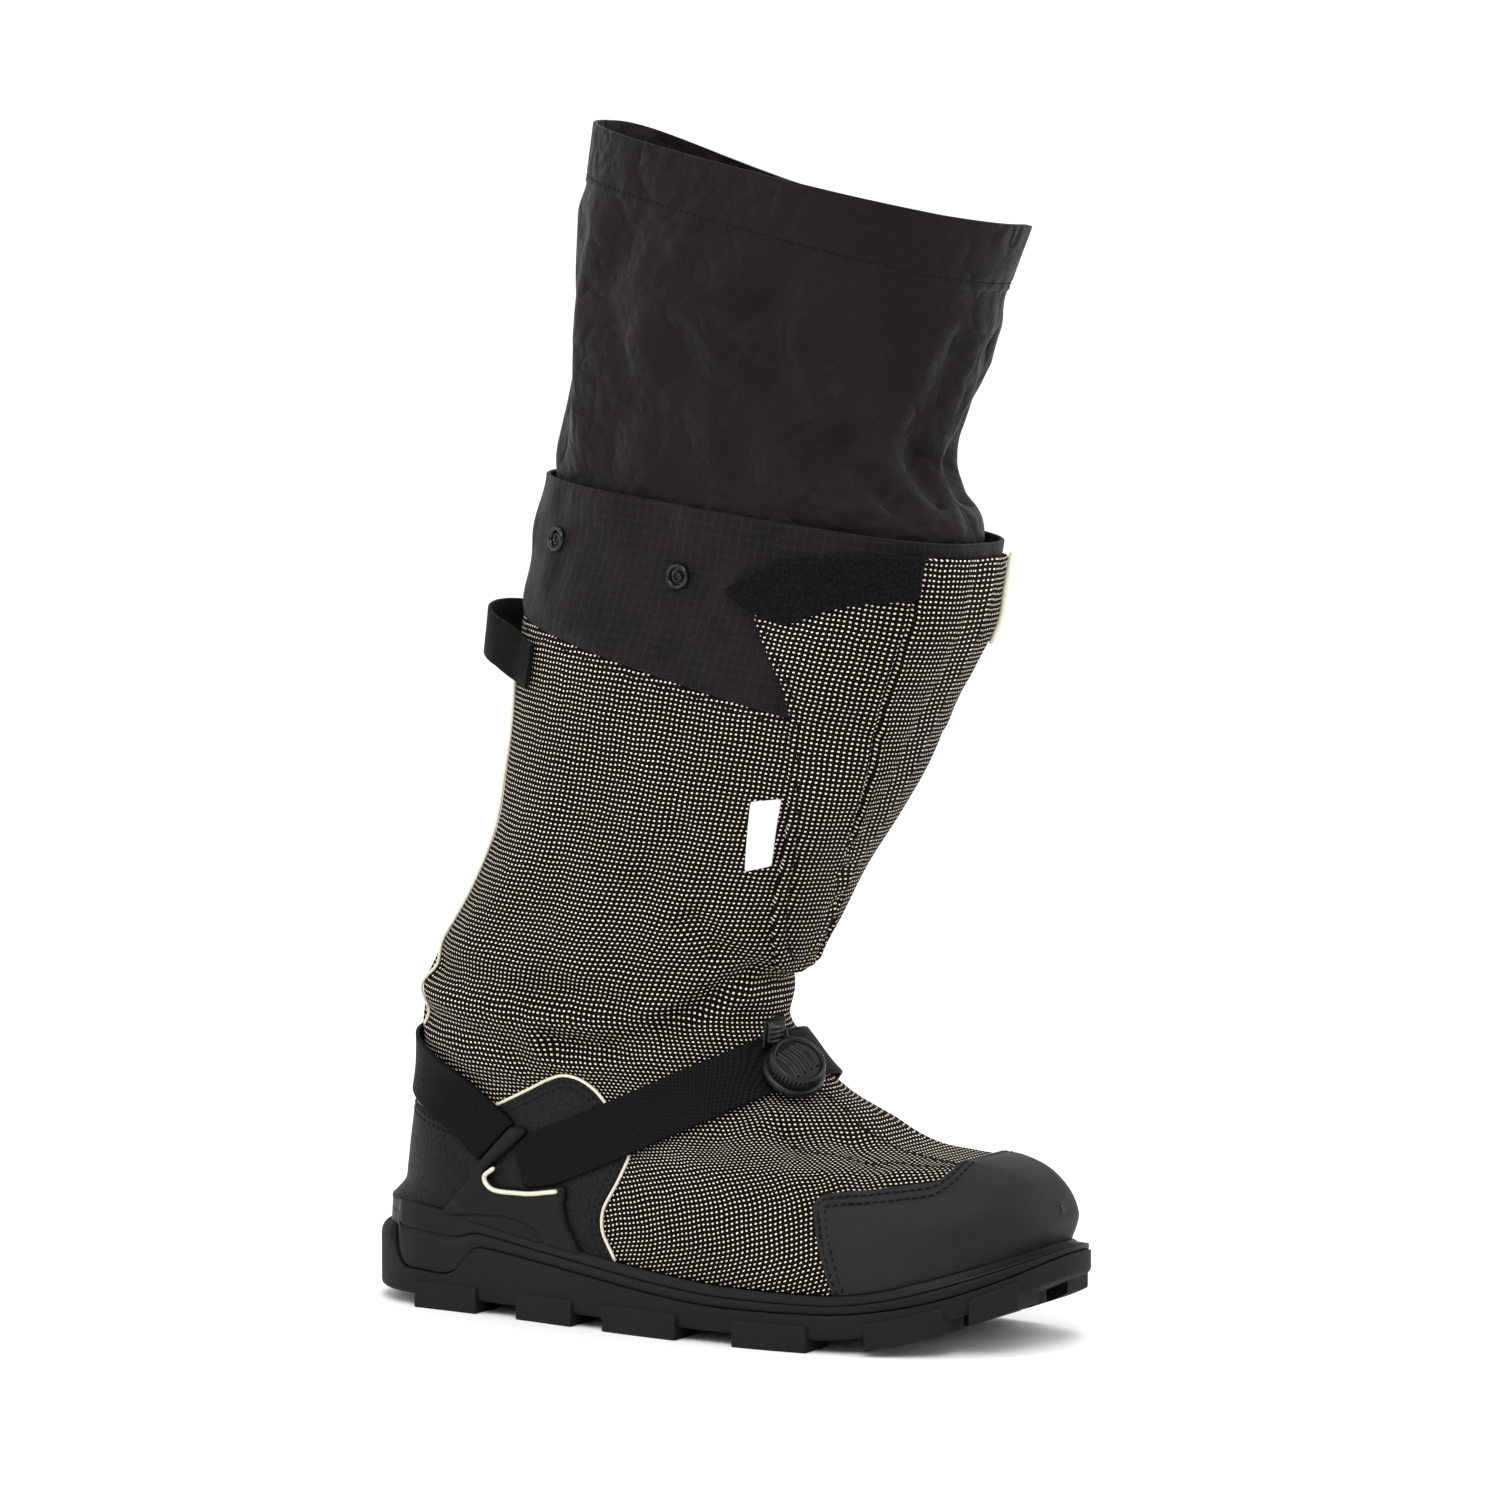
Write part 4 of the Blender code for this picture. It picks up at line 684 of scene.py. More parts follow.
def blend(tree, fac, a, b):
    made = add(tree, "ShaderNodeMix", data_type="RGBA")
    for socket, value in ((made.inputs[0], fac), (made.inputs[6], a), (made.inputs[7], b)):
        if isinstance(value, bpy.types.NodeSocket):
            tree.links.new(value, socket)
        else:
            socket.default_value = value if isinstance(value, float) else (*value, 1.0)
    return made.outputs[2]


def set_bump(tree, shader, height, distance, strength, under=None):
    inputs = {"Height": height, "Distance": distance, "Strength": strength}
    if under is not None:
        inputs["Normal"] = under
    bump = add(tree, "ShaderNodeBump", inputs)
    tree.links.new(bump.outputs[0], shader.inputs["Normal"])
    return bump.outputs[0]


def wave_of(tree, socket, pitch):
    """Cosine ripple from 0 to 1 of a coordinate in metres."""
    return times_plus(tree, calc(tree, "COSINE", times(tree, socket, 2 * pi / pitch)), 0.5, 0.5)


DOT_PITCH_U = 0.00230
DOT_PITCH_V = 0.00215
DOT_HALF_U = 0.228
DOT_HALF_V = 0.186
DOT_POWER = 2.6


def dotted_cloth():
    """Black ground with cream oval dots in rows, olive threads between them, and broad patches of darker and
    lighter colour.
    """
    material, tree, shader = new_material("dotted_cloth", (0.1, 0.1, 0.08), 0.85, Specular_IOR_Level=0.05)
    vector, u, v = cloth_map(tree)
    wander = add(tree, "ShaderNodeTexNoise", {"Vector": vector, "Scale": 90.0, "Detail": 1.0})
    shift = add(tree, "ShaderNodeSeparateXYZ", {0: wander.outputs["Color"]})
    u = calc(tree, "ADD", u, times(tree, shift.outputs[0], 0.0016))
    v = calc(tree, "ADD", v, times(tree, shift.outputs[1], 0.0016))

    def off_centre(coordinate, pitch, half):
        run = calc(tree, "FRACT", times(tree, coordinate, 1 / pitch))
        off = calc(tree, "ABSOLUTE", calc(tree, "SUBTRACT", run, 0.5))
        return calc(tree, "POWER", calc(tree, "DIVIDE", off, half), DOT_POWER)

    reach = calc(tree, "ADD", off_centre(u, DOT_PITCH_U, DOT_HALF_U), off_centre(v, DOT_PITCH_V, DOT_HALF_V))
    dot = add(tree, "ShaderNodeMapRange", {0: reach, 1: 1.20, 2: 0.65, 3: 0.0, 4: 1.0}).outputs[0]
    thread = times(tree, wave_of(tree, u, DOT_PITCH_U / 2), wave_of(tree, v, DOT_PITCH_V / 2))
    fine = mottle(tree, vector, 2600.0, 2.0)
    broad = mottle(tree, vector, 26.0, 3.0)
    woven = times(tree, thread, fine)
    ground_colour = ramp(tree, woven, (0.0012, 0.0011, 0.0009), (0.026, 0.020, 0.011))
    dot_colour = ramp(tree, fine, (0.60, 0.55, 0.42), (0.92, 0.88, 0.73), (0.25, 0.75))
    # Broad random patches: the colour is scaled by 0.72 to 1.22 times.
    shade = times_plus(tree, broad, 0.5, 0.72)
    mixed = blend(tree, dot, ground_colour, dot_colour)
    patched_colour = add(tree, "ShaderNodeVectorMath", {0: mixed, 3: shade}, operation="SCALE").outputs[0]
    paint(tree, shader, patched_colour)
    height = times_plus(tree, dot, 0.7, times(tree, thread, 0.3))
    set_bump(tree, shader, height, 0.00035, 0.7)
    return material


def nylon_cloth():
    material, tree, shader = new_material("gaiter_nylon", (0.02, 0.017, 0.016), 0.55, Sheen_Weight=0.05,
                                          Sheen_Roughness=0.45, Specular_IOR_Level=0.07)
    vector, u, v = cloth_map(tree)
    weave = times(tree, wave_of(tree, u, 0.0009), wave_of(tree, v, 0.0009))
    cross = mottle(tree, scaled(tree, vector, (1.0, 9.0, 1.0)), 240.0, 2.0)
    broad = mottle(tree, vector, 18.0, 4.0)
    mix = calc(tree, "ADD", times(tree, weave, 0.35), times(tree, broad, 0.75))
    colour = ramp(tree, mix, (0.0038, 0.0027, 0.0026), (0.0135, 0.0102, 0.0098), (0.1, 0.95))
    paint(tree, shader, colour)
    rough = times_plus(tree, broad, 0.28, 0.42)
    paint(tree, shader, rough, "Roughness")
    ridges = calc(tree, "ABSOLUTE", calc(tree, "SUBTRACT", mottle(tree, vector, 34.0, 2.5), 0.5))
    creases = add(tree, "ShaderNodeMapRange", {0: ridges, 1: 0.0, 2: 0.09, 3: 0.0, 4: 1.0}).outputs[0]
    crinkle = times_plus(tree, creases, 0.6, mottle(tree, vector, 110.0, 5.0))
    under = set_bump(tree, shader, crinkle, 0.0030, 0.6)
    set_bump(tree, shader, calc(tree, "ADD", weave, cross), 0.00012, 0.5, under)
    return material


def ripstop_cloth():
    material, tree, shader = new_material("collar_ripstop", (0.03, 0.026, 0.032), 0.6, Sheen_Weight=0.05,
                                          Specular_IOR_Level=0.06)
    vector, u, v = cloth_map(tree)
    line_u = calc(tree, "POWER", wave_of(tree, u, 0.0042), 26.0)
    line_v = calc(tree, "POWER", wave_of(tree, v, 0.0042), 26.0)
    lines = calc(tree, "MAXIMUM", line_u, line_v)
    weave = times(tree, wave_of(tree, u, 0.0007), wave_of(tree, v, 0.0007))
    broad = mottle(tree, vector, 40.0, 4.0)
    base = ramp(tree, broad, (0.0042, 0.0031, 0.0038), (0.0118, 0.0088, 0.0106), (0.25, 0.8))
    colour = blend(tree, times(tree, lines, 0.45), base, (0.017, 0.015, 0.019))
    paint(tree, shader, colour)
    under = set_bump(tree, shader, mottle(tree, vector, 95.0, 4.0), 0.0026, 0.6)
    height = times_plus(tree, lines, 0.8, times(tree, weave, 0.25))
    set_bump(tree, shader, height, 0.00025, 0.7, under)
    return material


def webbing_cloth():
    """Black narrow woven webbing: small ribs across it and a slight shine on their crowns."""
    rib = 0.0012
    material, tree, shader = new_material("webbing", (0.008, 0.008, 0.009), 0.62, Specular_IOR_Level=0.06)
    vector, u, v = cloth_map(tree)
    ribs = wave_of(tree, u, rib)
    zig = wave_of(tree, calc(tree, "ADD", v, times(tree, u, 0.5)), rib * 1.3)
    fine = mottle(tree, vector, 1800.0, 2.0)
    height = times_plus(tree, ribs, 0.6, times(tree, zig, 0.4))
    woven = times(tree, height, fine)
    colour = ramp(tree, woven, (0.0014, 0.0014, 0.0015), (0.0095, 0.0095, 0.0102), (0.1, 0.7))
    paint(tree, shader, colour)
    set_bump(tree, shader, height, 0.00035, 0.8)
    return material


def hook_tape():
    material, tree, shader = new_material("hook_tape", (0.006, 0.006, 0.006), 0.8, Sheen_Weight=0.02,
                                          Specular_IOR_Level=0.08)
    vector, _, _ = cloth_map(tree)
    tufts = add(tree, "ShaderNodeTexVoronoi", {"Vector": vector, "Scale": 900.0}).outputs["Distance"]
    colour = ramp(tree, tufts, (0.0065, 0.0065, 0.0070), (0.0010, 0.0010, 0.0010), (0.0, 0.6))
    paint(tree, shader, colour)
    set_bump(tree, shader, calc(tree, "SUBTRACT", 1.0, tufts), 0.0006, 0.9)
    return material


def rubber(name, low, high, grain, grain_depth, roughness, broad_scale=22.0):
    """Moulded rubber with a fine grain, cloudy tone and slight dulling."""
    material, tree, shader = new_material(name, high, roughness, Specular_IOR_Level=0.12)
    vector = place_map(tree)
    cloud = mottle(tree, vector, broad_scale, 4.0)
    speck = mottle(tree, vector, grain * 1.7, 2.0)
    fac = calc(tree, "ADD", times(tree, cloud, 0.65), times(tree, speck, 0.35))
    paint(tree, shader, ramp(tree, fac, low, high, (0.3, 0.72)))
    rough = times_plus(tree, cloud, 0.22, roughness - 0.11)
    paint(tree, shader, rough, "Roughness")
    set_bump(tree, shader, mottle(tree, vector, grain, 3.0), grain_depth, 0.8)
    return material


def pebbled_hide():
    material, tree, shader = new_material("counter_hide", (0.02, 0.02, 0.022), 0.55, Specular_IOR_Level=0.11)
    vector = place_map(tree)
    cells = add(tree, "ShaderNodeTexVoronoi", {"Vector": vector, "Scale": 780.0}, feature="SMOOTH_F1")
    pebbles = calc(tree, "SUBTRACT", 1.0, cells.outputs["Distance"])
    cloud = mottle(tree, vector, 35.0, 4.0)
    fac = times_plus(tree, pebbles, 0.55, times(tree, cloud, 0.45))
    colour = ramp(tree, fac, (0.0030, 0.0030, 0.0034), (0.0125, 0.0125, 0.0136), (0.35, 0.85))
    paint(tree, shader, colour)
    set_bump(tree, shader, pebbles, 0.00045, 0.8)
    return material


def plain_finish(name, colour, roughness, speck=0.12, scale=300.0, bump=0.0001, **values):
    """A near-plain finish with slight variation in tone and surface."""
    material, tree, shader = new_material(name, colour, roughness, **values)
    vector = place_map(tree)
    fac = mottle(tree, vector, scale, 3.0)
    low = tuple(c * (1 - speck) for c in colour)
    high = tuple(min(c * (1 + speck), 1.0) for c in colour)
    paint(tree, shader, ramp(tree, fac, low, high, (0.3, 0.7)))
    set_bump(tree, shader, fac, bump, 0.6)
    return material


def label_cloth():
    material, tree, shader = new_material("label_cloth", (0.85, 0.85, 0.84), 0.6)
    vector, _, v = cloth_map(tree)
    satin_weave_and_shade = times(tree, wave_of(tree, v, 0.0003), mottle(tree, vector, 900.0, 2.0))
    # The satin weave's stripes, with painted shade: the colour ramp darkens the white label to between 0.66 and
    # 0.84.
    paint(tree, shader, ramp(tree, satin_weave_and_shade, (0.66, 0.66, 0.65), (0.84, 0.84, 0.83)))
    set_bump(tree, shader, satin_weave_and_shade, 0.00006, 0.6)
    return material


# Mesh building
def into_scene(name, data):
    made = bpy.data.objects.new(name, data)
    bpy.context.scene.collection.objects.link(made)
    return made


def make_piece(name, points, faces, material, replaces=(), uvs=None, sharp=50):
    """Makes a piece of the visual model from points and faces, riding on the one body."""
    mesh = bpy.data.meshes.new(name)
    mesh.from_pydata(np.asarray(points, float).tolist(), [], [tuple(int(k) for k in f) for f in faces])
    mesh.validate()
    if uvs is not None:
        outer, inner, use_inner = uvs
        vertex = np.empty(len(mesh.loops), np.int32)
        mesh.loops.foreach_get("vertex_index", vertex)
        totals = np.empty(len(mesh.polygons), np.int32)
        mesh.polygons.foreach_get("loop_total", totals)
        flags = np.repeat(np.asarray(use_inner)[:len(totals)], totals)
        layer = mesh.uv_layers.new(name="Cloth")
        values = np.where(flags[:, None], np.asarray(inner)[vertex], np.asarray(outer)[vertex])
        layer.data.foreach_set("uv", values.astype(np.float32).ravel())
    mesh.shade_smooth()
    mesh.set_sharp_from_angle(angle=radians(sharp))
    mesh.materials.append(material)
    piece = into_scene(name, mesh)
    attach(piece, "root")
    if replaces:
        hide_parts(*replaces)
    return piece


def both_cloths(surface, turn, level):
    """Cloth coordinates of every place as on the outer side, and as on the inner side."""
    return [np.stack(surface.cloth(turn, level, np.full(len(turn), inner)), axis=1) for inner in (False, True)]


def cloth_uvs(surface, turn, level, faces):
    """Cloth coordinates of every place for either side, and which side each face takes."""
    centres = np.array([np.mean([turn[k] for k in face]) for face in faces])
    return (*both_cloths(surface, turn, level), np.mod(centres, 1.0) >= 0.5)


def cut(places, values, faces, at, keep_low=False):
    """Splits faces along the line where the value is at. Returns the line's pieces too."""
    places, values, made, result, pieces = list(places), list(values), {}, [], []
    for face in faces:
        level = [values[k] - at for k in face]
        if min(level) >= 0:
            result.append(face)
            continue
        if max(level) <= 0:
            if keep_low:
                result.append(face)
            continue
        high, low, ends = [], [], []
        for i, k in enumerate(face):
            m = face[(i + 1) % len(face)]
            a, b = level[i], values[m] - at
            (high if a >= 0 else low).append(k)
            if (a >= 0) != (b >= 0):
                key = (min(k, m), max(k, m))
                if key not in made:
                    s = a / (a - b)
                    places.append(tuple(p + s * (q - p) for p, q in zip(places[k], places[m])))
                    values.append(at)
                    made[key] = len(places) - 1
                high.append(made[key])
                low.append(made[key])
                ends.append(made[key])
        for part in ([high, low] if keep_low else [high]):
            if len(set(part)) >= 3:
                result.append(tuple(part))
        if len(ends) == 2:
            pieces.append(tuple(ends))
    return places, values, result, pieces


def chain(pieces, places):
    """Joins a line's pieces end to end into lines of places."""
    links = {}
    for a, b in pieces:
        links.setdefault(a, []).append(b)
        links.setdefault(b, []).append(a)
    lines, used = [], set()
    for start in sorted(links, key=lambda k: len(links[k])):
        if start in used:
            continue
        line, here = [start], start
        used.add(start)
        while True:
            ahead = [k for k in links[here] if k not in used]
            if not ahead:
                break
            here = ahead[0]
            used.add(here)
            line.append(here)
        if len(line) > 3:
            lines.append([places[k] for k in line])
    return lines


def grid_faces(columns, rows, wrap=False):
    faces = []
    for r in range(rows - 1):
        for c in range(columns if wrap else columns - 1):
            d = (c + 1) % columns
            faces.append((r * columns + c, r * columns + d, (r + 1) * columns + d, (r + 1) * columns + c))
    return faces


def rod_faces(sides, rows):
    """Faces of a closed rod: round its rings, then over both ends."""
    last = (rows - 1) * sides
    return grid_faces(sides, rows, wrap=True) + [tuple(range(sides))[::-1], tuple(range(last, last + sides))]


def shifted(faces, by):
    return [tuple(k + by for k in face) for face in faces]


def sheet(turns, levels):
    places = [(t, v) for v in levels for t in turns]
    return places, grid_faces(len(turns), len(levels))


RIM_SHARE = 0.35


def overlay(name, surface, turns, levels, field, base, wall, material, replaces, edge, relief=None):
    """A piece of cloth or rubber on a surface, cut to where field is positive, with rounded edges."""
    places, faces = sheet(turns, levels)
    grid = np.array(places)
    values = field(surface.point(grid[:, 0], grid[:, 1]))
    places, values, faces, _ = cut(places, values, faces, 0.0)
    for at in (0.25 * edge, edge):
        places, values, faces, _ = cut(places, values, faces, at, keep_low=True)
    used = sorted({k for face in faces for k in face})
    number = {k: i for i, k in enumerate(used)}
    faces = [tuple(number[k] for k in face) for face in faces]
    places, values = np.array([places[k] for k in used]), np.array([values[k] for k in used])
    turn, level = places[:, 0], places[:, 1]
    inset = np.clip(values / edge, 0.0, 1.0)
    lift = wall * (RIM_SHARE + (1 - RIM_SHARE) * np.sqrt(1 - (1 - inset) ** 2))
    if relief is not None:
        lift = lift + relief(surface.point(turn, level), turn, level, values) * inset
    top, bottom = surface.at(turn, level, base + lift), surface.at(turn, level, base)
    count = len(used)
    sides = dict.fromkeys((a, b) for face in faces for a, b in zip(face, face[1:] + face[:1]))
    walls = [(b, a, a + count, b + count) for a, b in sides if (b, a) not in sides]
    all_faces = faces + [face[::-1] for face in shifted(faces, count)] + walls
    double = np.concatenate([turn, turn])
    uvs = cloth_uvs(surface, double, np.concatenate([level, level]), all_faces)
    points = np.concatenate([top, bottom])
    return make_piece(name, points, all_faces, material, replaces, uvs)


def field_lines(surface, turns, levels, field, at):
    """Lines on a surface where a field has a value, as arrays of (turn, level)."""
    places, faces = sheet(turns, levels)
    grid = np.array(places)
    values = field(surface.point(grid[:, 0], grid[:, 1]))
    places, _, _, pieces = cut(places, values, faces, at, keep_low=True)
    return [np.array(line) for line in chain(pieces, places)]


def resampled(surface, line, offset, step):
    """Places at even steps along a line on a surface."""
    points = surface.at(line[:, 0], line[:, 1], offset)
    length = run_lengths(points)
    count = max(int(length[-1] / step), 2)
    marks = np.linspace(0, length[-1], count + 1)
    return np.stack([np.interp(marks, length, line[:, k]) for k in (0, 1)], axis=1)


RING = np.arange(6) * 2 * pi / 6


def stitches(name, surface, lines, offset, material, length=0.0024, gap=0.0010, radius=0.00033):
    """Rows of thread stitches: short rounded dashes that sink into the cloth at their ends."""
    points, faces = [], []
    profile = [(-0.5, 0.35, -0.9), (-0.36, 0.95, 0.1), (0.0, 1.0, 0.45), (0.36, 0.95, 0.1),
               (0.5, 0.35, -0.9)]
    for line in lines:
        line = np.asarray(line, float)
        marks = resampled(surface, line, offset, (length + gap) / 2)
        spots = surface.at(marks[:, 0], marks[:, 1], offset)
        outward = normals(surface.point, marks[:, 0], marks[:, 1])
        for k in range(1, len(marks) - 1, 2):
            ahead = unit(spots[k + 1] - spots[k - 1])
            side = np.cross(ahead, outward[k])
            faces += shifted(rod_faces(len(RING), len(profile)), len(points))
            for s, size, lift in profile:
                centre = spots[k] + ahead * s * length + outward[k] * lift * radius
                for a in RING:
                    points.append(centre + radius * size * (cos(a) * side + sin(a) * outward[k]))
    return make_piece(name, points, faces, material)


def cord_mesh(path, radius):
    """Points and faces of a round cord along a path, with rounded ends."""
    path = np.asarray(path, float)
    ahead = unit(np.gradient(path, axis=0))
    guide = np.array([0.0, 1.0, 0.0]) if abs(ahead[0][1]) < 0.7 else np.array([0.0, 0.0, 1.0])
    angles = np.arange(CORD_SIDES) * 2 * pi / CORD_SIDES
    points = []
    sizes = np.ones(len(path))
    sizes[0] = sizes[-1] = 0.55
    for p, a, size in zip(path, ahead, sizes):
        side = unit(np.cross(a, guide))
        guide = np.cross(side, a)
        points += [p + radius * size * (cos(t) * side + sin(t) * guide) for t in angles]
    return np.array(points), rod_faces(CORD_SIDES, len(path))


def piping(name, surface, lines, offset, radius, material, replaces, step=0.0012):
    points, faces = [], []
    for line in lines:
        marks = resampled(surface, np.asarray(line, float), offset, step)
        part, part_faces = cord_mesh(surface.at(marks[:, 0], marks[:, 1], offset), radius)
        faces += shifted(part_faces, len(points))
        points += list(part)
    return make_piece(name, points, faces, material, replaces)


def tube_piece(name, surface, turns_count, outer_levels, wall, material, replaces, lining=None,
               outer_lift=None, inner_rows=40):
    """A hollow tube: the folded outer face, rounded rims and a lining face inside."""
    turns = np.arange(turns_count) / turns_count
    low, high = outer_levels[0], outer_levels[-1]
    rows = [(v, 0.0) for v in outer_levels]
    rows += [(high, -wall * 0.35), (high, -wall * 0.75)]
    rows += [(v, -wall) for v in np.linspace(high, low, inner_rows)]
    rows += [(low, -wall * 0.5)]
    level = np.repeat([r[0] for r in rows], turns_count)
    offset = np.repeat([r[1] for r in rows], turns_count)
    turn = np.tile(turns, len(rows))
    if outer_lift is not None:
        offset = offset + outer_lift(turn, level) * (offset > -wall * 0.9)
    points = surface.at(turn, level, offset)
    top = len(outer_levels)
    for row in (top, top + 1):
        points[row * turns_count:(row + 1) * turns_count, 2] += wall * (0.22 if row == top else 0.12)
    faces = grid_faces(turns_count, len(rows), wrap=True)
    last = (len(rows) - 1) * turns_count
    for c in range(turns_count):
        d = (c + 1) % turns_count
        faces.append((last + c, last + d, d, c))
    uvs = (*both_cloths(surface, turn, level), np.tile(turns >= 0.5, len(rows)))
    piece = make_piece(name, points, faces, material, replaces, uvs)
    if lining is not None:
        piece.data.materials.append(lining)
        index = np.zeros(len(faces), np.int32)
        index[(top + 1) * turns_count:] = 1
        piece.data.polygons.foreach_set("material_index", index[:len(piece.data.polygons)])
    return piece


def turns_of(first, last, step=1 / AROUND):
    return np.arange(first, last + step / 2, step)


# The sole
def close_loops(count, loops):
    """Faces between loops of the sole, closed underneath and on top by strips across it."""
    faces = grid_faces(count, loops, wrap=True)
    for base, flip in ((0, True), ((loops - 1) * count, False)):
        strip = [(base, base + 1, base + count - 1)]
        strip += [(base + i, base + i + 1, base + count - i - 1, base + count - i)
                  for i in range(1, count // 2 - 1)]
        strip.append((base + count // 2 - 1, base + count // 2, base + count // 2 + 1))
        faces += [face[::-1] if flip else face for face in strip]
    return faces


def looped_piece(name, loops, material, node, uvs=None):
    points, faces = np.concatenate(loops), close_loops(len(loops[0]), len(loops))
    if uvs is not None:
        uvs = (points[:, :2], points[:, :2], np.zeros(len(faces), bool))
    return make_piece(name, points, faces, material, (node,), uvs)


def make_outsole(material):
    def low(up):
        return lambda x: ground(x) + LUG_DEPTH + up

    def high(down):
        return lambda x: side_line(x, "mid") - down

    rows = [(0.0030, low(0.0)), (0.0012, low(0.0002)), (0.0003, low(0.0010)), (0.0, low(0.0022)),
            (0.0, lambda x: low(0.0)(x) / 2 + high(0.0)(x) / 2), (0.0, high(0.0012))]
    loops = [sole_loop(inset, height) for inset, height in rows]
    for angle in radians(12) * np.arange(8):
        def rounding(x, up=sin(angle)):
            return side_line(x, "mid") - 0.0004 * (1 - up) + BUMPER_HEIGHT * up * bumper(along(x))
        loops.append(sole_loop(EDGE_INSET * (1 - cos(angle)), rounding, BUMPER_INSET * (1 - cos(angle))))
    loops.append(sole_loop(EDGE_INSET + 0.0005, outsole_top, BUMPER_INSET))
    loops.append(sole_loop(0.0040, outsole_top, BUMPER_INSET + 0.0030))
    return looped_piece("outsole_slab", loops, material, "outsole")


def edge_point(x, side, inward):
    width = half_width(x, side, 0.0) * round_heel(x, 0.0) * round_toe(x, 0.0)
    return middle(x) + side * np.maximum(width - inward, 0.004)


def add_block(points, faces, start, end, section_at, rows=7):
    """A block lofted along X from sections of (y, z) points, closed at both ends."""
    faces += shifted(rod_faces(len(section_at(start)), rows), len(points))
    for x in np.linspace(start, end, rows):
        points += [(x, y, z) for y, z in section_at(x)]


def make_lugs(material):
    """Side lugs with a sloping shoulder, a step under it, and studs along the middle."""
    points, faces = [], []
    for start, end in LUGS:
        x0, x1 = HEEL_END + start * SOLE_LENGTH, HEEL_END + end * SOLE_LENGTH
        for side in (-1.0, 1.0):
            def section(x, side=side):
                rows = [(-LUG_PROUD, 0.0), (-LUG_PROUD, SIDE_BLOCK), (0.002, SIDE_BLOCK + LUG_PROUD),
                        (LUG_REACH, LUG_DEPTH + 0.002), (LUG_REACH, 0.0)]
                return [(float(edge_point(x, side, inward)), float(ground(x)) + up) for inward, up in rows]
            add_block(points, faces, x0, x1, section)
        if 0.07 < start < 0.9:
            def stud(x):
                y = float(middle(x) + (edge_point(x, -1.0, 0.0) + edge_point(x, 1.0, 0.0)) / 2)
                z, half = float(ground(x)), CENTRE_LUG_WIDTH / 2
                top = z + LUG_DEPTH + 0.002
                return [(y - half, z), (y - half, top), (y + half, top), (y + half, z)]
            more = CENTRE_LUG_LONGER * SOLE_LENGTH
            add_block(points, faces, x0 - more, x1 + more, stud, 4)
    piece = make_piece("outsole_lugs", points, faces, material)
    fix_normals(piece)
    bevel = piece.modifiers.new("bevel", "BEVEL")
    bevel.width, bevel.segments = 0.0006, 2
    bevel.limit_method = "ANGLE"
    bevel.angle_limit = radians(35)
    return piece


def fix_normals(piece):
    work = bmesh.new()
    work.from_mesh(piece.data)
    bmesh.ops.recalc_face_normals(work, faces=work.faces)
    work.to_mesh(piece.data)
    work.free()


def make_midsole(material):
    """A band with a step and, above it, a raised lip that the upper's edge stands in."""
    def level(share, up=0.0):
        return lambda x: (outsole_top(x) + GAP) * (1 - share) + side_line(x, "top") * share + up

    # Inset, share of the height, and what is added to it, to the rear's inset and to the toe's
    rows = [(0.0040, 0.0, 0.0, 0.0030, 0.0), (0.0022, 0.0, 0.0, 0.0006, 0.0), (0.0012, 0.015, 0.0, 0.0, 0.0),
            (0.0010, 0.06, 0.0, 0.0, 0.0), (0.0008, 0.30, 0.0, 0.0, 0.0), (0.0009, 0.52, 0.0, 0.0, 0.0),
            (0.0013, 0.585, 0.0, 0.0, 0.0), (0.0024, 0.61, 0.0, 0.0003, 0.0002),
            (0.0026, 0.635, 0.0, 0.0003, 0.0004), (0.0019, 0.665, 0.0, 0.0, 0.0006),
            (0.0018, 0.72, 0.0, 0.0, 0.0010), (0.0021, 0.84, 0.0, 0.0, 0.0020),
            (0.0026, 0.95, 0.0, 0.0, 0.0030), (0.0030, 1.0, 0.0008, 0.0, 0.0036),
            (0.0035, 1.0, 0.0016, 0.0, 0.0040), (0.0040, 1.0, 0.0017, 0.0001, 0.0042),
            (0.0044, 1.0, 0.0008, 0.0002, 0.0044), (0.0048, 1.0, 0.0, 0.0004, 0.0044),
            (0.0085, 1.0, 0.0, 0.0035, 0.0044)]
    loops = [sole_loop(inset, level(share, up), BUMPER_INSET + GAP + REAR_LEAN * share + rear, toe)
             for inset, share, up, rear, toe in rows]
    return looped_piece("midsole_band", loops, material, "midsole")


def make_insole(material):
    inset = FEATHER_INSET + UPPER_WALL + 0.007
    rows = [(inset + 0.002, 0.0), (inset, 0.0006), (inset, 0.0022), (inset + 0.0015, 0.0030)]
    rows += [(inset + 0.0015 + 0.006 * k, 0.0030) for k in range(1, 4)]
    loops = [sole_loop(i, lambda x, up=up: seat(x) + up, count=144) for i, up in rows]
    return looped_piece("insole_board", loops, material, "insole", uvs=True)


# Upper, collar and gaiter
def make_upper(cloth, lining):
    levels = np.linspace(0, SHAFT_TOP, 200)
    return tube_piece("upper_cloth", SHOE, AROUND, levels, UPPER_WALL, cloth, ("upper",), lining,
                      inner_rows=110)


def make_collar(cloth, lining):
    levels = np.linspace(SHAFT_TOP + 0.02, COLLAR_TOP, 72)
    return tube_piece("storm_collar_cloth", SHOE, AROUND, levels, COLLAR_WALL, cloth, ("storm_collar",),
                      lining)


HEM_LEVEL = GAITER_TOP - 1.0


def make_gaiter(cloth):
    levels = np.concatenate([np.linspace(0, HEM_LEVEL - 0.04, 150), np.linspace(HEM_LEVEL, GAITER_TOP, 26)])

    def hem(turn, level):
        rise = ease(level, HEM_LEVEL - 0.03, HEM_LEVEL + 0.02) * 0.0008
        return rise - bell(level - HEM_LEVEL - SEAM_DROP, 0.05) * 0.0005

    return tube_piece("gaiter_cloth", GAITER, GAITER.columns, levels, GAITER_WALL, cloth, ("gaiter",),
                      None, hem, 60)


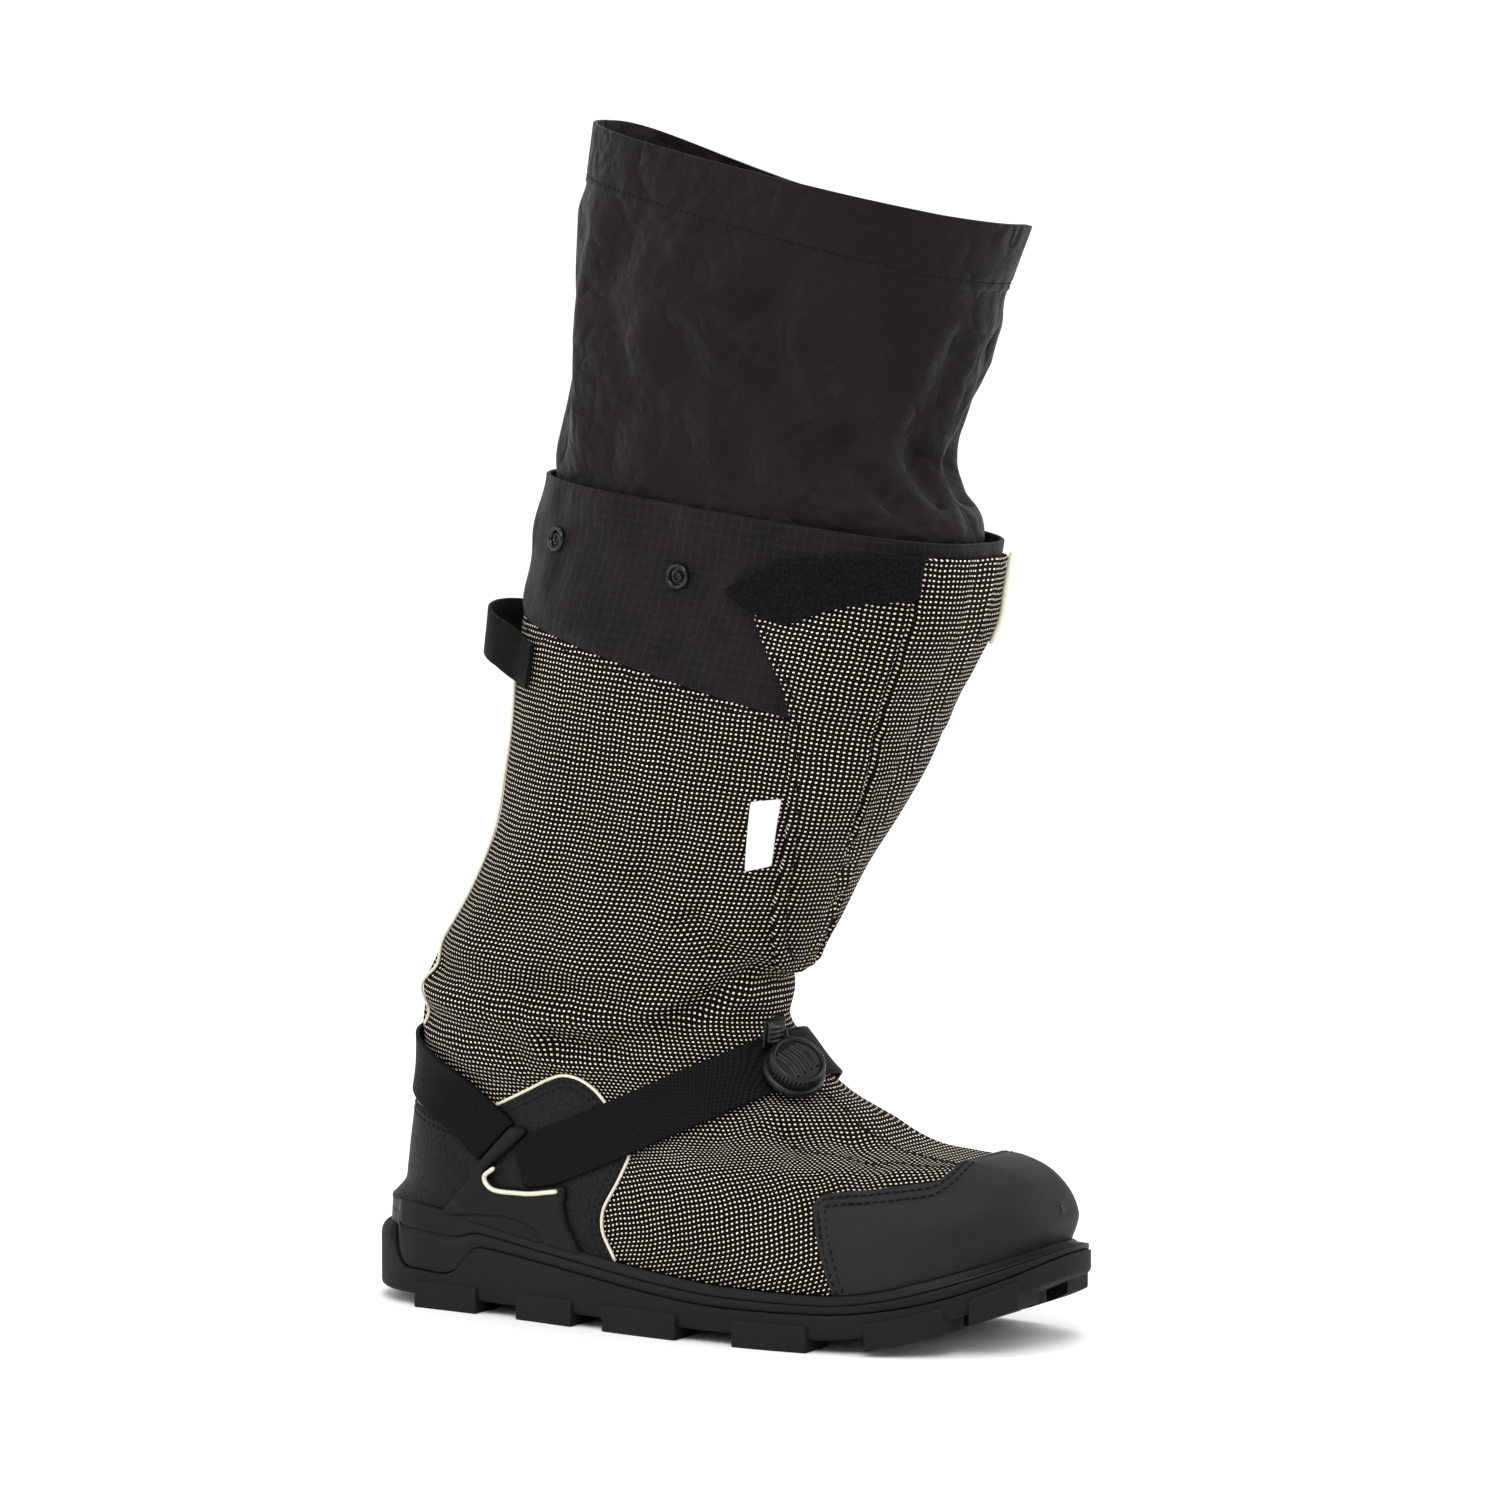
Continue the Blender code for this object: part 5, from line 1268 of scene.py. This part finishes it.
def make_flap(cloth):
    def relief(points, turn, level, values):
        u, v = SHOE.cloth(np.clip(turn, 0.0, 0.62), level, np.zeros(len(turn), bool))
        fold = crease_distance(SHOE, FOLD_LINE, u, v, 1.0)
        hem = bell(values - FLAP_SEAM, 0.0010)
        return -0.0021 * bell(fold, 0.0014) + 0.0006 * bell(fold - 0.003, 0.002) - 0.0007 * hem

    overlay("front_flap_cloth", SHOE, turns_of(0.24, 0.76, 1 / 360), np.linspace(10, 19, 130), flap_field, GAP,
            FLAP_WALL, cloth, ("front_flap",), edge=0.0012, relief=relief)


# Pieces cut to outlines: cap, counter, wings, straps, tab and label
def make_seamed(name, finish, outline, turns, levels, wall, edge, seams, depth, width, thread_up,
                material, thread):
    """A piece cut to an outline, with grooves and stitches along its edge."""
    def field(points):
        return outline_distance(points, outline)

    overlay(name + finish, SHOE, turns, levels, field, GAP, wall, material, (name,), edge=edge,
            relief=lambda p, t, l, v: sum(-depth * bell(v - at, width) for at in seams))
    rows = sum((field_lines(SHOE, turns, levels, field, at) for at in seams), [])
    stitches(name + "_stitches", SHOE, rows, GAP + thread_up, thread)


def make_wings(material, cream):
    def field(points):
        return outline_distance(points, WING_OUTLINE)

    def relief(points, turn, level, values):
        line, bar = (lines_distance(points[:, 0], points[:, 2], side_view(shares))
                     for shares in (WING_GROOVE, WING_BAR))
        return -0.0011 * bell(line, 0.0009) + 0.0010 * bell(bar, 0.0065, 4)

    levels = np.linspace(0.0, 6, 110)
    for side, first, last in (("lateral", 0.04, 0.30), ("medial", 0.70, 0.96)):
        overlay("wing_" + side, SHOE, turns_of(first, last, 1 / 480), levels, field, ANCHOR_BASE, ANCHOR_WALL,
                material, ("side_wing_" + side,), edge=0.0016, relief=relief)
        places = find_places(side_view(fine_line(SLOT_LINE, 40)), side == "medial")
        piping("slot_trim_" + side, SHOE, [places], ANCHOR_BASE + ANCHOR_WALL + 0.0004, TRIM_RADIUS, cream,
               ("wing_trim_" + side,), 0.0008)


def make_straps(material):
    for name, line, edges, reach in (("instep_strap", INSTEP_LINE, INSTEP_BAND, (0.08, 0.92)),
                                     ("heel_strap", HEEL_LINE, HEEL_BAND, (-0.30, 0.30))):
        def field(points, edges=edges):
            return np.minimum(outline_distance(points, edges), -0.0006 - outline_distance(points, WING_OUTLINE))

        piece = overlay(name + "_webbing", SHOE, turns_of(*reach, 1 / 420), np.linspace(2, 11.5, 170), field,
                        STRAP_BASE, WEBBING_WALL, material, (name,), edge=0.0006)
        strap_uvs(piece, line)


def make_outer_piece(name, finish, corners, rounding, turns, levels, base, wall, material, edge):
    """A piece cut to an outline on the outer side alone."""
    outline = rounded(side_view(corners), rounding)
    overlay(name + finish, SHOE, turns, levels,
            lambda p: np.where(p[..., 1] < 0, outline_distance(p, outline), -1.0), base, wall, material,
            (name,), edge=edge)


def upright(turn, low, high, count):
    """A line of places up the surface at one turn."""
    return [np.array([(turn, v) for v in np.linspace(low, high, count)])]


def level_row(level):
    """A line of places once round the surface at one level."""
    return [np.array([(t, level) for t in np.linspace(0, 1, 400)])]


# All the pieces, in order
def grey(value, blue=1.0):
    return (value, value, value * blue)


def main():
    cream = plain_finish("cream_piping", (0.62, 0.61, 0.47), 0.42, 0.08, 400.0)
    thread = plain_finish("black_thread", grey(0.003), 0.6, Specular_IOR_Level=0.12)
    plastic = plain_finish("black_plastic", grey(0.004, 1.1), 0.33, 0.2, 500.0, 0.00004,
                           Specular_IOR_Level=0.28)
    gloss = plain_finish("snap_gloss", grey(0.003), 0.16, 0.1, 300.0, 0.00001, Specular_IOR_Level=0.35)
    lining = plain_finish("lining_cloth", (0.005, 0.0046, 0.005), 0.9, 0.3, 900.0, 0.0002,
                          Specular_IOR_Level=0.1)
    cloth, nylon, ripstop = dotted_cloth(), nylon_cloth(), ripstop_cloth()
    webbing, tape, hide = webbing_cloth(), hook_tape(), pebbled_hide()
    smooth_rubber = rubber("midsole_rubber", (0.0048, 0.0048, 0.0054), (0.0092, 0.0092, 0.0102), 900.0,
                           0.00006, 0.50)
    rough_rubber = rubber("tread_rubber", (0.0056, 0.0056, 0.0061), (0.0125, 0.0125, 0.0138), 1500.0,
                          0.00028, 0.72)
    moulded = rubber("wing_rubber", (0.0038, 0.0038, 0.0043), (0.0078, 0.0078, 0.0086), 1100.0,
                     0.00008, 0.48)
    cap_rubber = rubber("cap_rubber", (0.0088, 0.0088, 0.0098), (0.0178, 0.0178, 0.0194), 1500.0,
                        0.00014, 0.55, 14.0)

    fold_upper()
    fold_gaiter()
    make_outsole(rough_rubber)
    make_lugs(rough_rubber)
    make_midsole(smooth_rubber)
    make_insole(lining)
    make_upper(cloth, lining)
    make_collar(ripstop, lining)
    make_gaiter(nylon)
    make_flap(cloth)

    make_seamed("toe_cap", "_rubber", CAP_OUTLINE, turns_of(0.28, 0.72, 1 / 360), np.linspace(0.0, 6, 90),
                CAP_WALL, 0.0011, CAP_SEAMS, 0.0008, 0.0006, 0.0013, cap_rubber, thread)
    turns, levels = turns_of(-0.34, 0.34, 1 / 360), np.linspace(0.0, 8.6, 120)
    make_seamed("heel_counter", "_hide", COUNTER_OUTLINE, turns, levels, COUNTER_WALL, 0.0009, COUNTER_SEAMS,
                0.0003, 0.0005, 0.00125, hide, thread)
    beads = field_lines(SHOE, turns, levels, lambda p: outline_distance(p, COUNTER_OUTLINE), -0.0009)
    for name, lines in (("counter_piping", beads), ("back_piping", upright(BACK_PIPING_TURN, 8.9, 15.2, 60))):
        piping(name + "_bead", SHOE, lines, GAP + PIPING_RADIUS, PIPING_RADIUS, cream, (name,))
    make_wings(moulded, cream)
    make_straps(webbing)
    make_outer_piece("closure_tab", "_tape", TAB_EDGE, 0.004, turns_of(0.20, 0.48, 1 / 480),
                     np.linspace(16, 19, 70), GAP + FLAP_WALL + GAP, TAB_WALL, tape, 0.0008)
    make_outer_piece("side_label", "_cloth", LABEL_EDGE, 0.0008, turns_of(0.30, 0.42, 1 / 720),
                     np.linspace(12.2, 15, 60), GAP, LABEL_WALL, label_cloth(), 0.0004)
    piping("flap_trim_strip", SHOE, upright(FLAP_TRIM_TURN, 17.5, 18.85, 20), GAP + FLAP_WALL + GAP + 0.0008,
           0.0012, cream, ("flap_trim",))

    rows = [np.array(line) for line in (VAMP_SEAM_HIGH, VAMP_SEAM_LOW)]
    rows.append(rows[1] * (-1, 1) + (1, 0))
    stitches("vamp_stitches", SHOE, rows, 0.0001, thread, 0.0026, 0.0006, 0.0004)
    stitches("gaiter_hem_stitches", GAITER, level_row(HEM_LEVEL + SEAM_DROP), 0.0004, thread, 0.0022,
             0.0012, 0.0003)
    flap_rows = field_lines(SHOE, turns_of(0.26, 0.49, 1 / 360), np.linspace(10, 19, 110), flap_field, FLAP_SEAM)
    stitches("flap_stitches", SHOE, flap_rows, GAP + 0.0021, thread, 0.0024, 0.0008, 0.0004)
    stitches("collar_seam_stitches", SHOE, level_row(SHAFT_TOP - SEAM_DROP), 0.0, thread)

    make_dial(plastic)
    make_ladder(plastic)
    make_snaps(gloss)
    make_pull_loop(webbing)
    make_stage()


# Places on the outer face, and the straps' cloth
def find_places(side_points, inner):
    """(turn, level) of the outer or inner face at points of the side view."""
    x, z = side_points[:, 0], side_points[:, 1]
    low, high = np.zeros(len(x)), np.full(len(x), float(COLLAR_TOP))

    def turn_at(level):
        first, last = np.zeros(len(x)), np.full(len(x), 0.5)
        for _ in range(26):
            mid = (first + last) / 2
            behind = upper_point(mid, level)[:, 0] < x
            first, last = np.where(behind, mid, first), np.where(behind, last, mid)
        return (first + last) / 2

    for _ in range(26):
        mid = (low + high) / 2
        below = upper_point(turn_at(mid), mid)[:, 2] < z
        low, high = np.where(below, mid, low), np.where(below, high, mid)
    level = (low + high) / 2
    turn = turn_at(level)
    return np.stack([1 - turn if inner else turn, level], axis=1)


def strap_uvs(piece, line):
    """Cloth coordinates that run along a strap's line in side view, so that its ribs cross it."""
    line = side_view(fine_line(line, 60))
    mesh = piece.data
    points = np.empty(len(mesh.vertices) * 3, np.float32)
    mesh.vertices.foreach_get("co", points)
    points = points.reshape(-1, 3)
    length = run_lengths(line)
    best, run, aside = np.full(len(points), 1e9), np.zeros(len(points)), np.zeros(len(points))
    for k, ((ax, az), (bx, bz)) in enumerate(zip(line[:-1], line[1:])):
        dx, dz = bx - ax, bz - az
        size = np.hypot(dx, dz)
        t = np.clip(((points[:, 0] - ax) * dx + (points[:, 2] - az) * dz) / size ** 2, 0.0, 1.0)
        across = ((points[:, 2] - az) * dx - (points[:, 0] - ax) * dz) / size
        distance = np.hypot(points[:, 0] - ax - t * dx, points[:, 2] - az - t * dz)
        near = distance < best
        best = np.where(near, distance, best)
        run = np.where(near, length[k] + t * size, run)
        aside = np.where(near, across, aside)
    run = run + np.abs(points[:, 1]) * 0.6
    vertex = np.empty(len(mesh.loops), np.int32)
    mesh.loops.foreach_get("vertex_index", vertex)
    values = np.stack([run, aside], axis=1)[vertex]
    mesh.uv_layers["Cloth"].data.foreach_set("uv", values.astype(np.float32).ravel())


# Dial, snaps and loop
def on_face(turn, level, offset):
    """Placement with its origin on the upper's face, +Z outwards and +Y up the face."""
    outward = Vector(normals(upper_point, turn, level))
    upward = Vector(upper_point(turn, level + 0.1) - upper_point(turn, level - 0.1))
    upward = (upward - outward * upward.dot(outward)).normalized()
    matrix = Matrix((upward.cross(outward), upward, outward)).transposed().to_4x4()
    matrix.translation = Vector(upper_point(turn, level)) + outward * offset
    return matrix


def spun(name, rows, place, material, replaces, sides, shape=None):
    """A turned piece from (radius, height) rows; shape(radius, height, angle) may change each point."""
    angles = np.arange(sides) * 2 * pi / sides
    points = []
    for radius, height in rows:
        for a in angles:
            r, h = shape(radius, height, a) if shape else (radius, height)
            points.append(place @ Vector((r * cos(a), r * sin(a), h)))
    return make_piece(name, points, rod_faces(sides, len(rows)), material, replaces, None, 40)


def make_dial(material):
    place = on_face(*DIAL_PLACE, DIAL_BASE)
    rim, radius, depth = 0.0012, HOUSING_RADIUS, HOUSING_DEPTH
    rows = [(radius - rim, 0.0), (radius - rim * 0.3, rim * 0.3), (radius, rim), (radius, depth - rim),
            (radius - rim * 0.3, depth - rim * 0.3), (radius - rim, depth), (0.004, depth)]
    spun("dial_base", rows, place, material, ("dial_housing",), 96)
    knob_place = on_face(*DIAL_PLACE, DIAL_BASE + depth + GAP)
    r, d = 0.0125, 0.0062
    rows = [(0.96, 0.0), (1, 0.06), (1, 0.35), (1, 0.62), (0.985, 0.74), (0.95, 0.88), (0.90, 0.98), (0.86, 1),
            (0.82, 0.97), (0.79, 0.90)]
    rows = [(r * a, d * b) for a, b in rows + [(s, 0.88) for s in np.linspace(0.77, 0.06, 26)]]

    def shape(radius, height, angle):
        share = radius / r
        if share > 0.955 and height > 0:
            return radius - 0.00055 * (0.5 + 0.5 * cos(40 * angle)) ** 2, height
        if share < 0.78:
            bow = radius * cos(angle)
            run = radius * sin(angle)
            dish = 0.0007 * (1 - (share / 0.78) ** 2)
            ridge = 0.0
            for centre in (-0.0050, -0.0012, 0.0026, 0.0060):
                here = bow - centre + 0.012 * (run / r) ** 2 * 0.35
                ridge += 0.0011 * bell(here, 0.0008, 4) * (abs(run) < 0.0068)
            return radius, height - 0.0004 + dish + ridge
        return radius, height

    spun("dial_grip", rows, knob_place, material, ("dial_knob",), 200, shape)


def ribbon(name, path, across, width, wall, material, replaces, teeth=0.0):
    """A flat band along a path with rounded edges, and ridges on its outer face where teeth says so."""
    path = np.asarray(path, float)
    ahead = unit(np.gradient(path, axis=0))
    across = np.broadcast_to(np.asarray(across, float), path.shape)
    across = unit(across - np.sum(across * ahead, axis=1)[:, None] * ahead)
    normal = np.cross(ahead, across)
    run = run_lengths(path)
    section = [(-0.5, -0.28), (-0.485, -0.5), (-0.25, -0.5), (0.0, -0.5), (0.25, -0.5), (0.485, -0.5),
               (0.5, -0.28)]
    section += [(-w, -t) for w, t in section]
    points, uvs = [], []
    for p, a, n, s in zip(path, across, normal, run):
        ridge = teeth * (0.5 + 0.5 * cos(2 * pi * s / TOOTH_PITCH)) ** 2
        for w, t in section:
            extra = ridge if t > 0.4 and abs(w) < 0.3 else 0.0
            points.append(p + a * width * w + n * (wall * t + extra))
            uvs.append((s, width * w))
    faces = rod_faces(len(section), len(path))
    uvs = np.array(uvs)
    piece = make_piece(name, points, faces, material, replaces, (uvs, uvs, np.zeros(len(faces), bool)))
    fix_normals(piece)
    return piece


def smooth_path(points, count):
    """Points on a smooth curve through given points."""
    points = np.asarray(points, float)
    length = run_lengths(points)
    curves = [smooth_curve(length, points[:, k]) for k in range(3)]
    marks = np.linspace(0, length[-1], count)
    return np.stack([c(marks) for c in curves], axis=1)


def make_ladder(material):
    place = on_face(*DIAL_PLACE, DIAL_BASE)
    outward = place.to_3x3() @ Vector((0.0, 0.0, 1.0))
    across = place.to_3x3() @ Vector((1.0, 0.0, 0.0))
    rise = (Vector((0.0, 0.0, 1.0)) + 0.35 * outward).normalized()
    over = (outward - rise * outward.dot(rise)).normalized()
    wall, bend, height = 0.0012, 0.0025, 0.010
    foot = place @ Vector((0.0, HOUSING_RADIUS + GAP + wall * 0.8, HOUSING_DEPTH / 2))
    top = foot + rise * height + over * bend
    path = [foot, foot + rise * height / 2]
    for angle in np.linspace(0, pi, 9):
        path.append(top - over * bend * cos(angle) + rise * bend * sin(angle))
    path.append(path[-1] - rise * height * 0.6)
    path = smooth_path([tuple(p) for p in path], 70)
    ribbon("ladder_band", path, tuple(across), 0.009, wall, material, ("ladder_strap",), 0.0005)
    pull = [tuple(top + over * out + across * aside - rise * down)
            for out, aside, down in ((bend, 0.0052, 0.002), (0.0042, 0.0062, 0.007), (0.0050, 0.0060, 0.014),
                                     (0.0046, 0.0050, 0.019))]
    points, faces = cord_mesh(smooth_path(pull, 24), 0.0006)
    make_piece("ladder_pull", points, faces, material)


def make_snaps(material):
    r, d = 0.0055, 0.0022
    rows = [(0.96, 0.0), (1, 0.18), (1, 0.45), (0.97, 0.72), (0.90, 0.93), (0.82, 1), (0.74, 0.94), (0.66, 0.72),
            (0.62, 0.42), (0.60, 0.22), (0.50, 0.20), (0.46, 0.42), (0.42, 0.60), (0.34, 0.66), (0.28, 0.52),
            (0.24, 0.20), (0.05, 0.16)]
    rows = [(r * a, d * b) for a, b in rows]
    for k, (turn, level) in enumerate(SNAP_PLACES):
        place = on_face(turn, level, GAP + 0.0005)
        spun("snap_%d" % (k + 1), rows, place, material, ("collar_snap_%d" % (k + 1),), 64)


def make_pull_loop(material):
    base = GAP + WEBBING_WALL / 2 + 0.0004
    legs = [upper_point(k / 36, LOOP_LEVEL) + base * normals(upper_point, k / 36, LOOP_LEVEL)
            for k in (4, 3.5, 3)]
    back = upper_point(0.0, LOOP_LEVEL)
    half = legs[2][1] / -1.08
    path = list(legs)
    for angle in np.radians(np.linspace(-80, 80, 13)):
        path.append(back + (half * 0.25 - 0.026 * cos(angle), half * sin(angle), 0.010 * cos(angle)))
    path += [p * np.array([1.0, -1.0, 1.0]) for p in legs[::-1]]
    upward = upper_point(0.0, LOOP_LEVEL + 0.5) - upper_point(0.0, LOOP_LEVEL - 0.5)
    ribbon("pull_loop_webbing", smooth_path(path, 160), upward, WEBBING_WIDTH * 0.8, WEBBING_WALL, material,
           ("pull_loop",))


# Stage, light and camera
def make_stage():
    material = plain_finish("pale_floor", (0.90, 0.90, 0.90), 0.9, 0.01, 2.0, 0.0)
    ahead = Vector((-sin(PHOTO_TURN), cos(PHOTO_TURN), 0.0))
    side = Vector((cos(PHOTO_TURN), sin(PHOTO_TURN), 0.0))
    bends = [(2.0 + 1.5 * sin(a), 1.5 - 1.5 * cos(a)) for a in np.linspace(0, pi / 2, 24)[1:]]
    profile = [(-4.0, 0.0), (2.0, 0.0), *bends, (3.5, 6.0)]
    points = [ahead * run + side * aside + Vector((0.0, 0.0, height))
              for run, height in profile for aside in (-6.0, 6.0)]
    faces = [(2 * k, 2 * k + 1, 2 * k + 3, 2 * k + 2) for k in range(len(profile) - 1)]
    mesh = bpy.data.meshes.new("floor")
    mesh.from_pydata(points, [], faces)
    mesh.shade_smooth()
    mesh.materials.append(material)
    into_scene("floor", mesh)
    world = bpy.data.worlds.new("studio")
    bpy.context.scene.world = world
    world.use_nodes = True
    background = world.node_tree.nodes["Background"]
    background.inputs[0].default_value = (1.0, 1.0, 1.0, 1.0)
    background.inputs[1].default_value = 0.75
    for name, place, size, power in (("key", (1.2, -2.2, 2.6), 1.8, 75.0),
                                     ("fill", (-2.0, -1.6, 1.4), 2.2, 26.0),
                                     ("top", (0.2, 0.6, 3.2), 2.2, 42.0),
                                     ("rim", (2.4, 1.2, 1.6), 1.6, 26.0)):
        light = bpy.data.lights.new(name, "AREA")
        light.size, light.energy = size, power
        lamp = into_scene(name, light)
        lamp.location = place
        lamp.rotation_euler = (Vector((0.12, 0.0, 0.22)) - Vector(place)).to_track_quat("-Z", "Y").to_euler()
    make_camera()


def make_camera():
    """The photograph's viewpoint: 30 degrees round from the outer side, just above the horizon."""
    azimuth, elevation, distance = PHOTO_TURN, radians(4.28), 2.6
    back = Vector((sin(azimuth) * cos(elevation), -cos(azimuth) * cos(elevation), sin(elevation)))
    right = Vector((cos(azimuth), sin(azimuth), 0.0))
    up = back.cross(right)
    camera = into_scene("camera", bpy.data.cameras.new("camera"))
    camera.data.lens, camera.data.sensor_width = 145.7, 36.0
    rotation = Matrix((right, up, back)).transposed().to_4x4()
    rotation.translation = Vector((0.12, 0.0, 0.25)) + back * distance + right * 0.01538 - up * 0.00505
    camera.matrix_world = rotation
    bpy.context.scene.camera = camera
    bpy.context.scene.view_settings.view_transform = "Standard"


main()
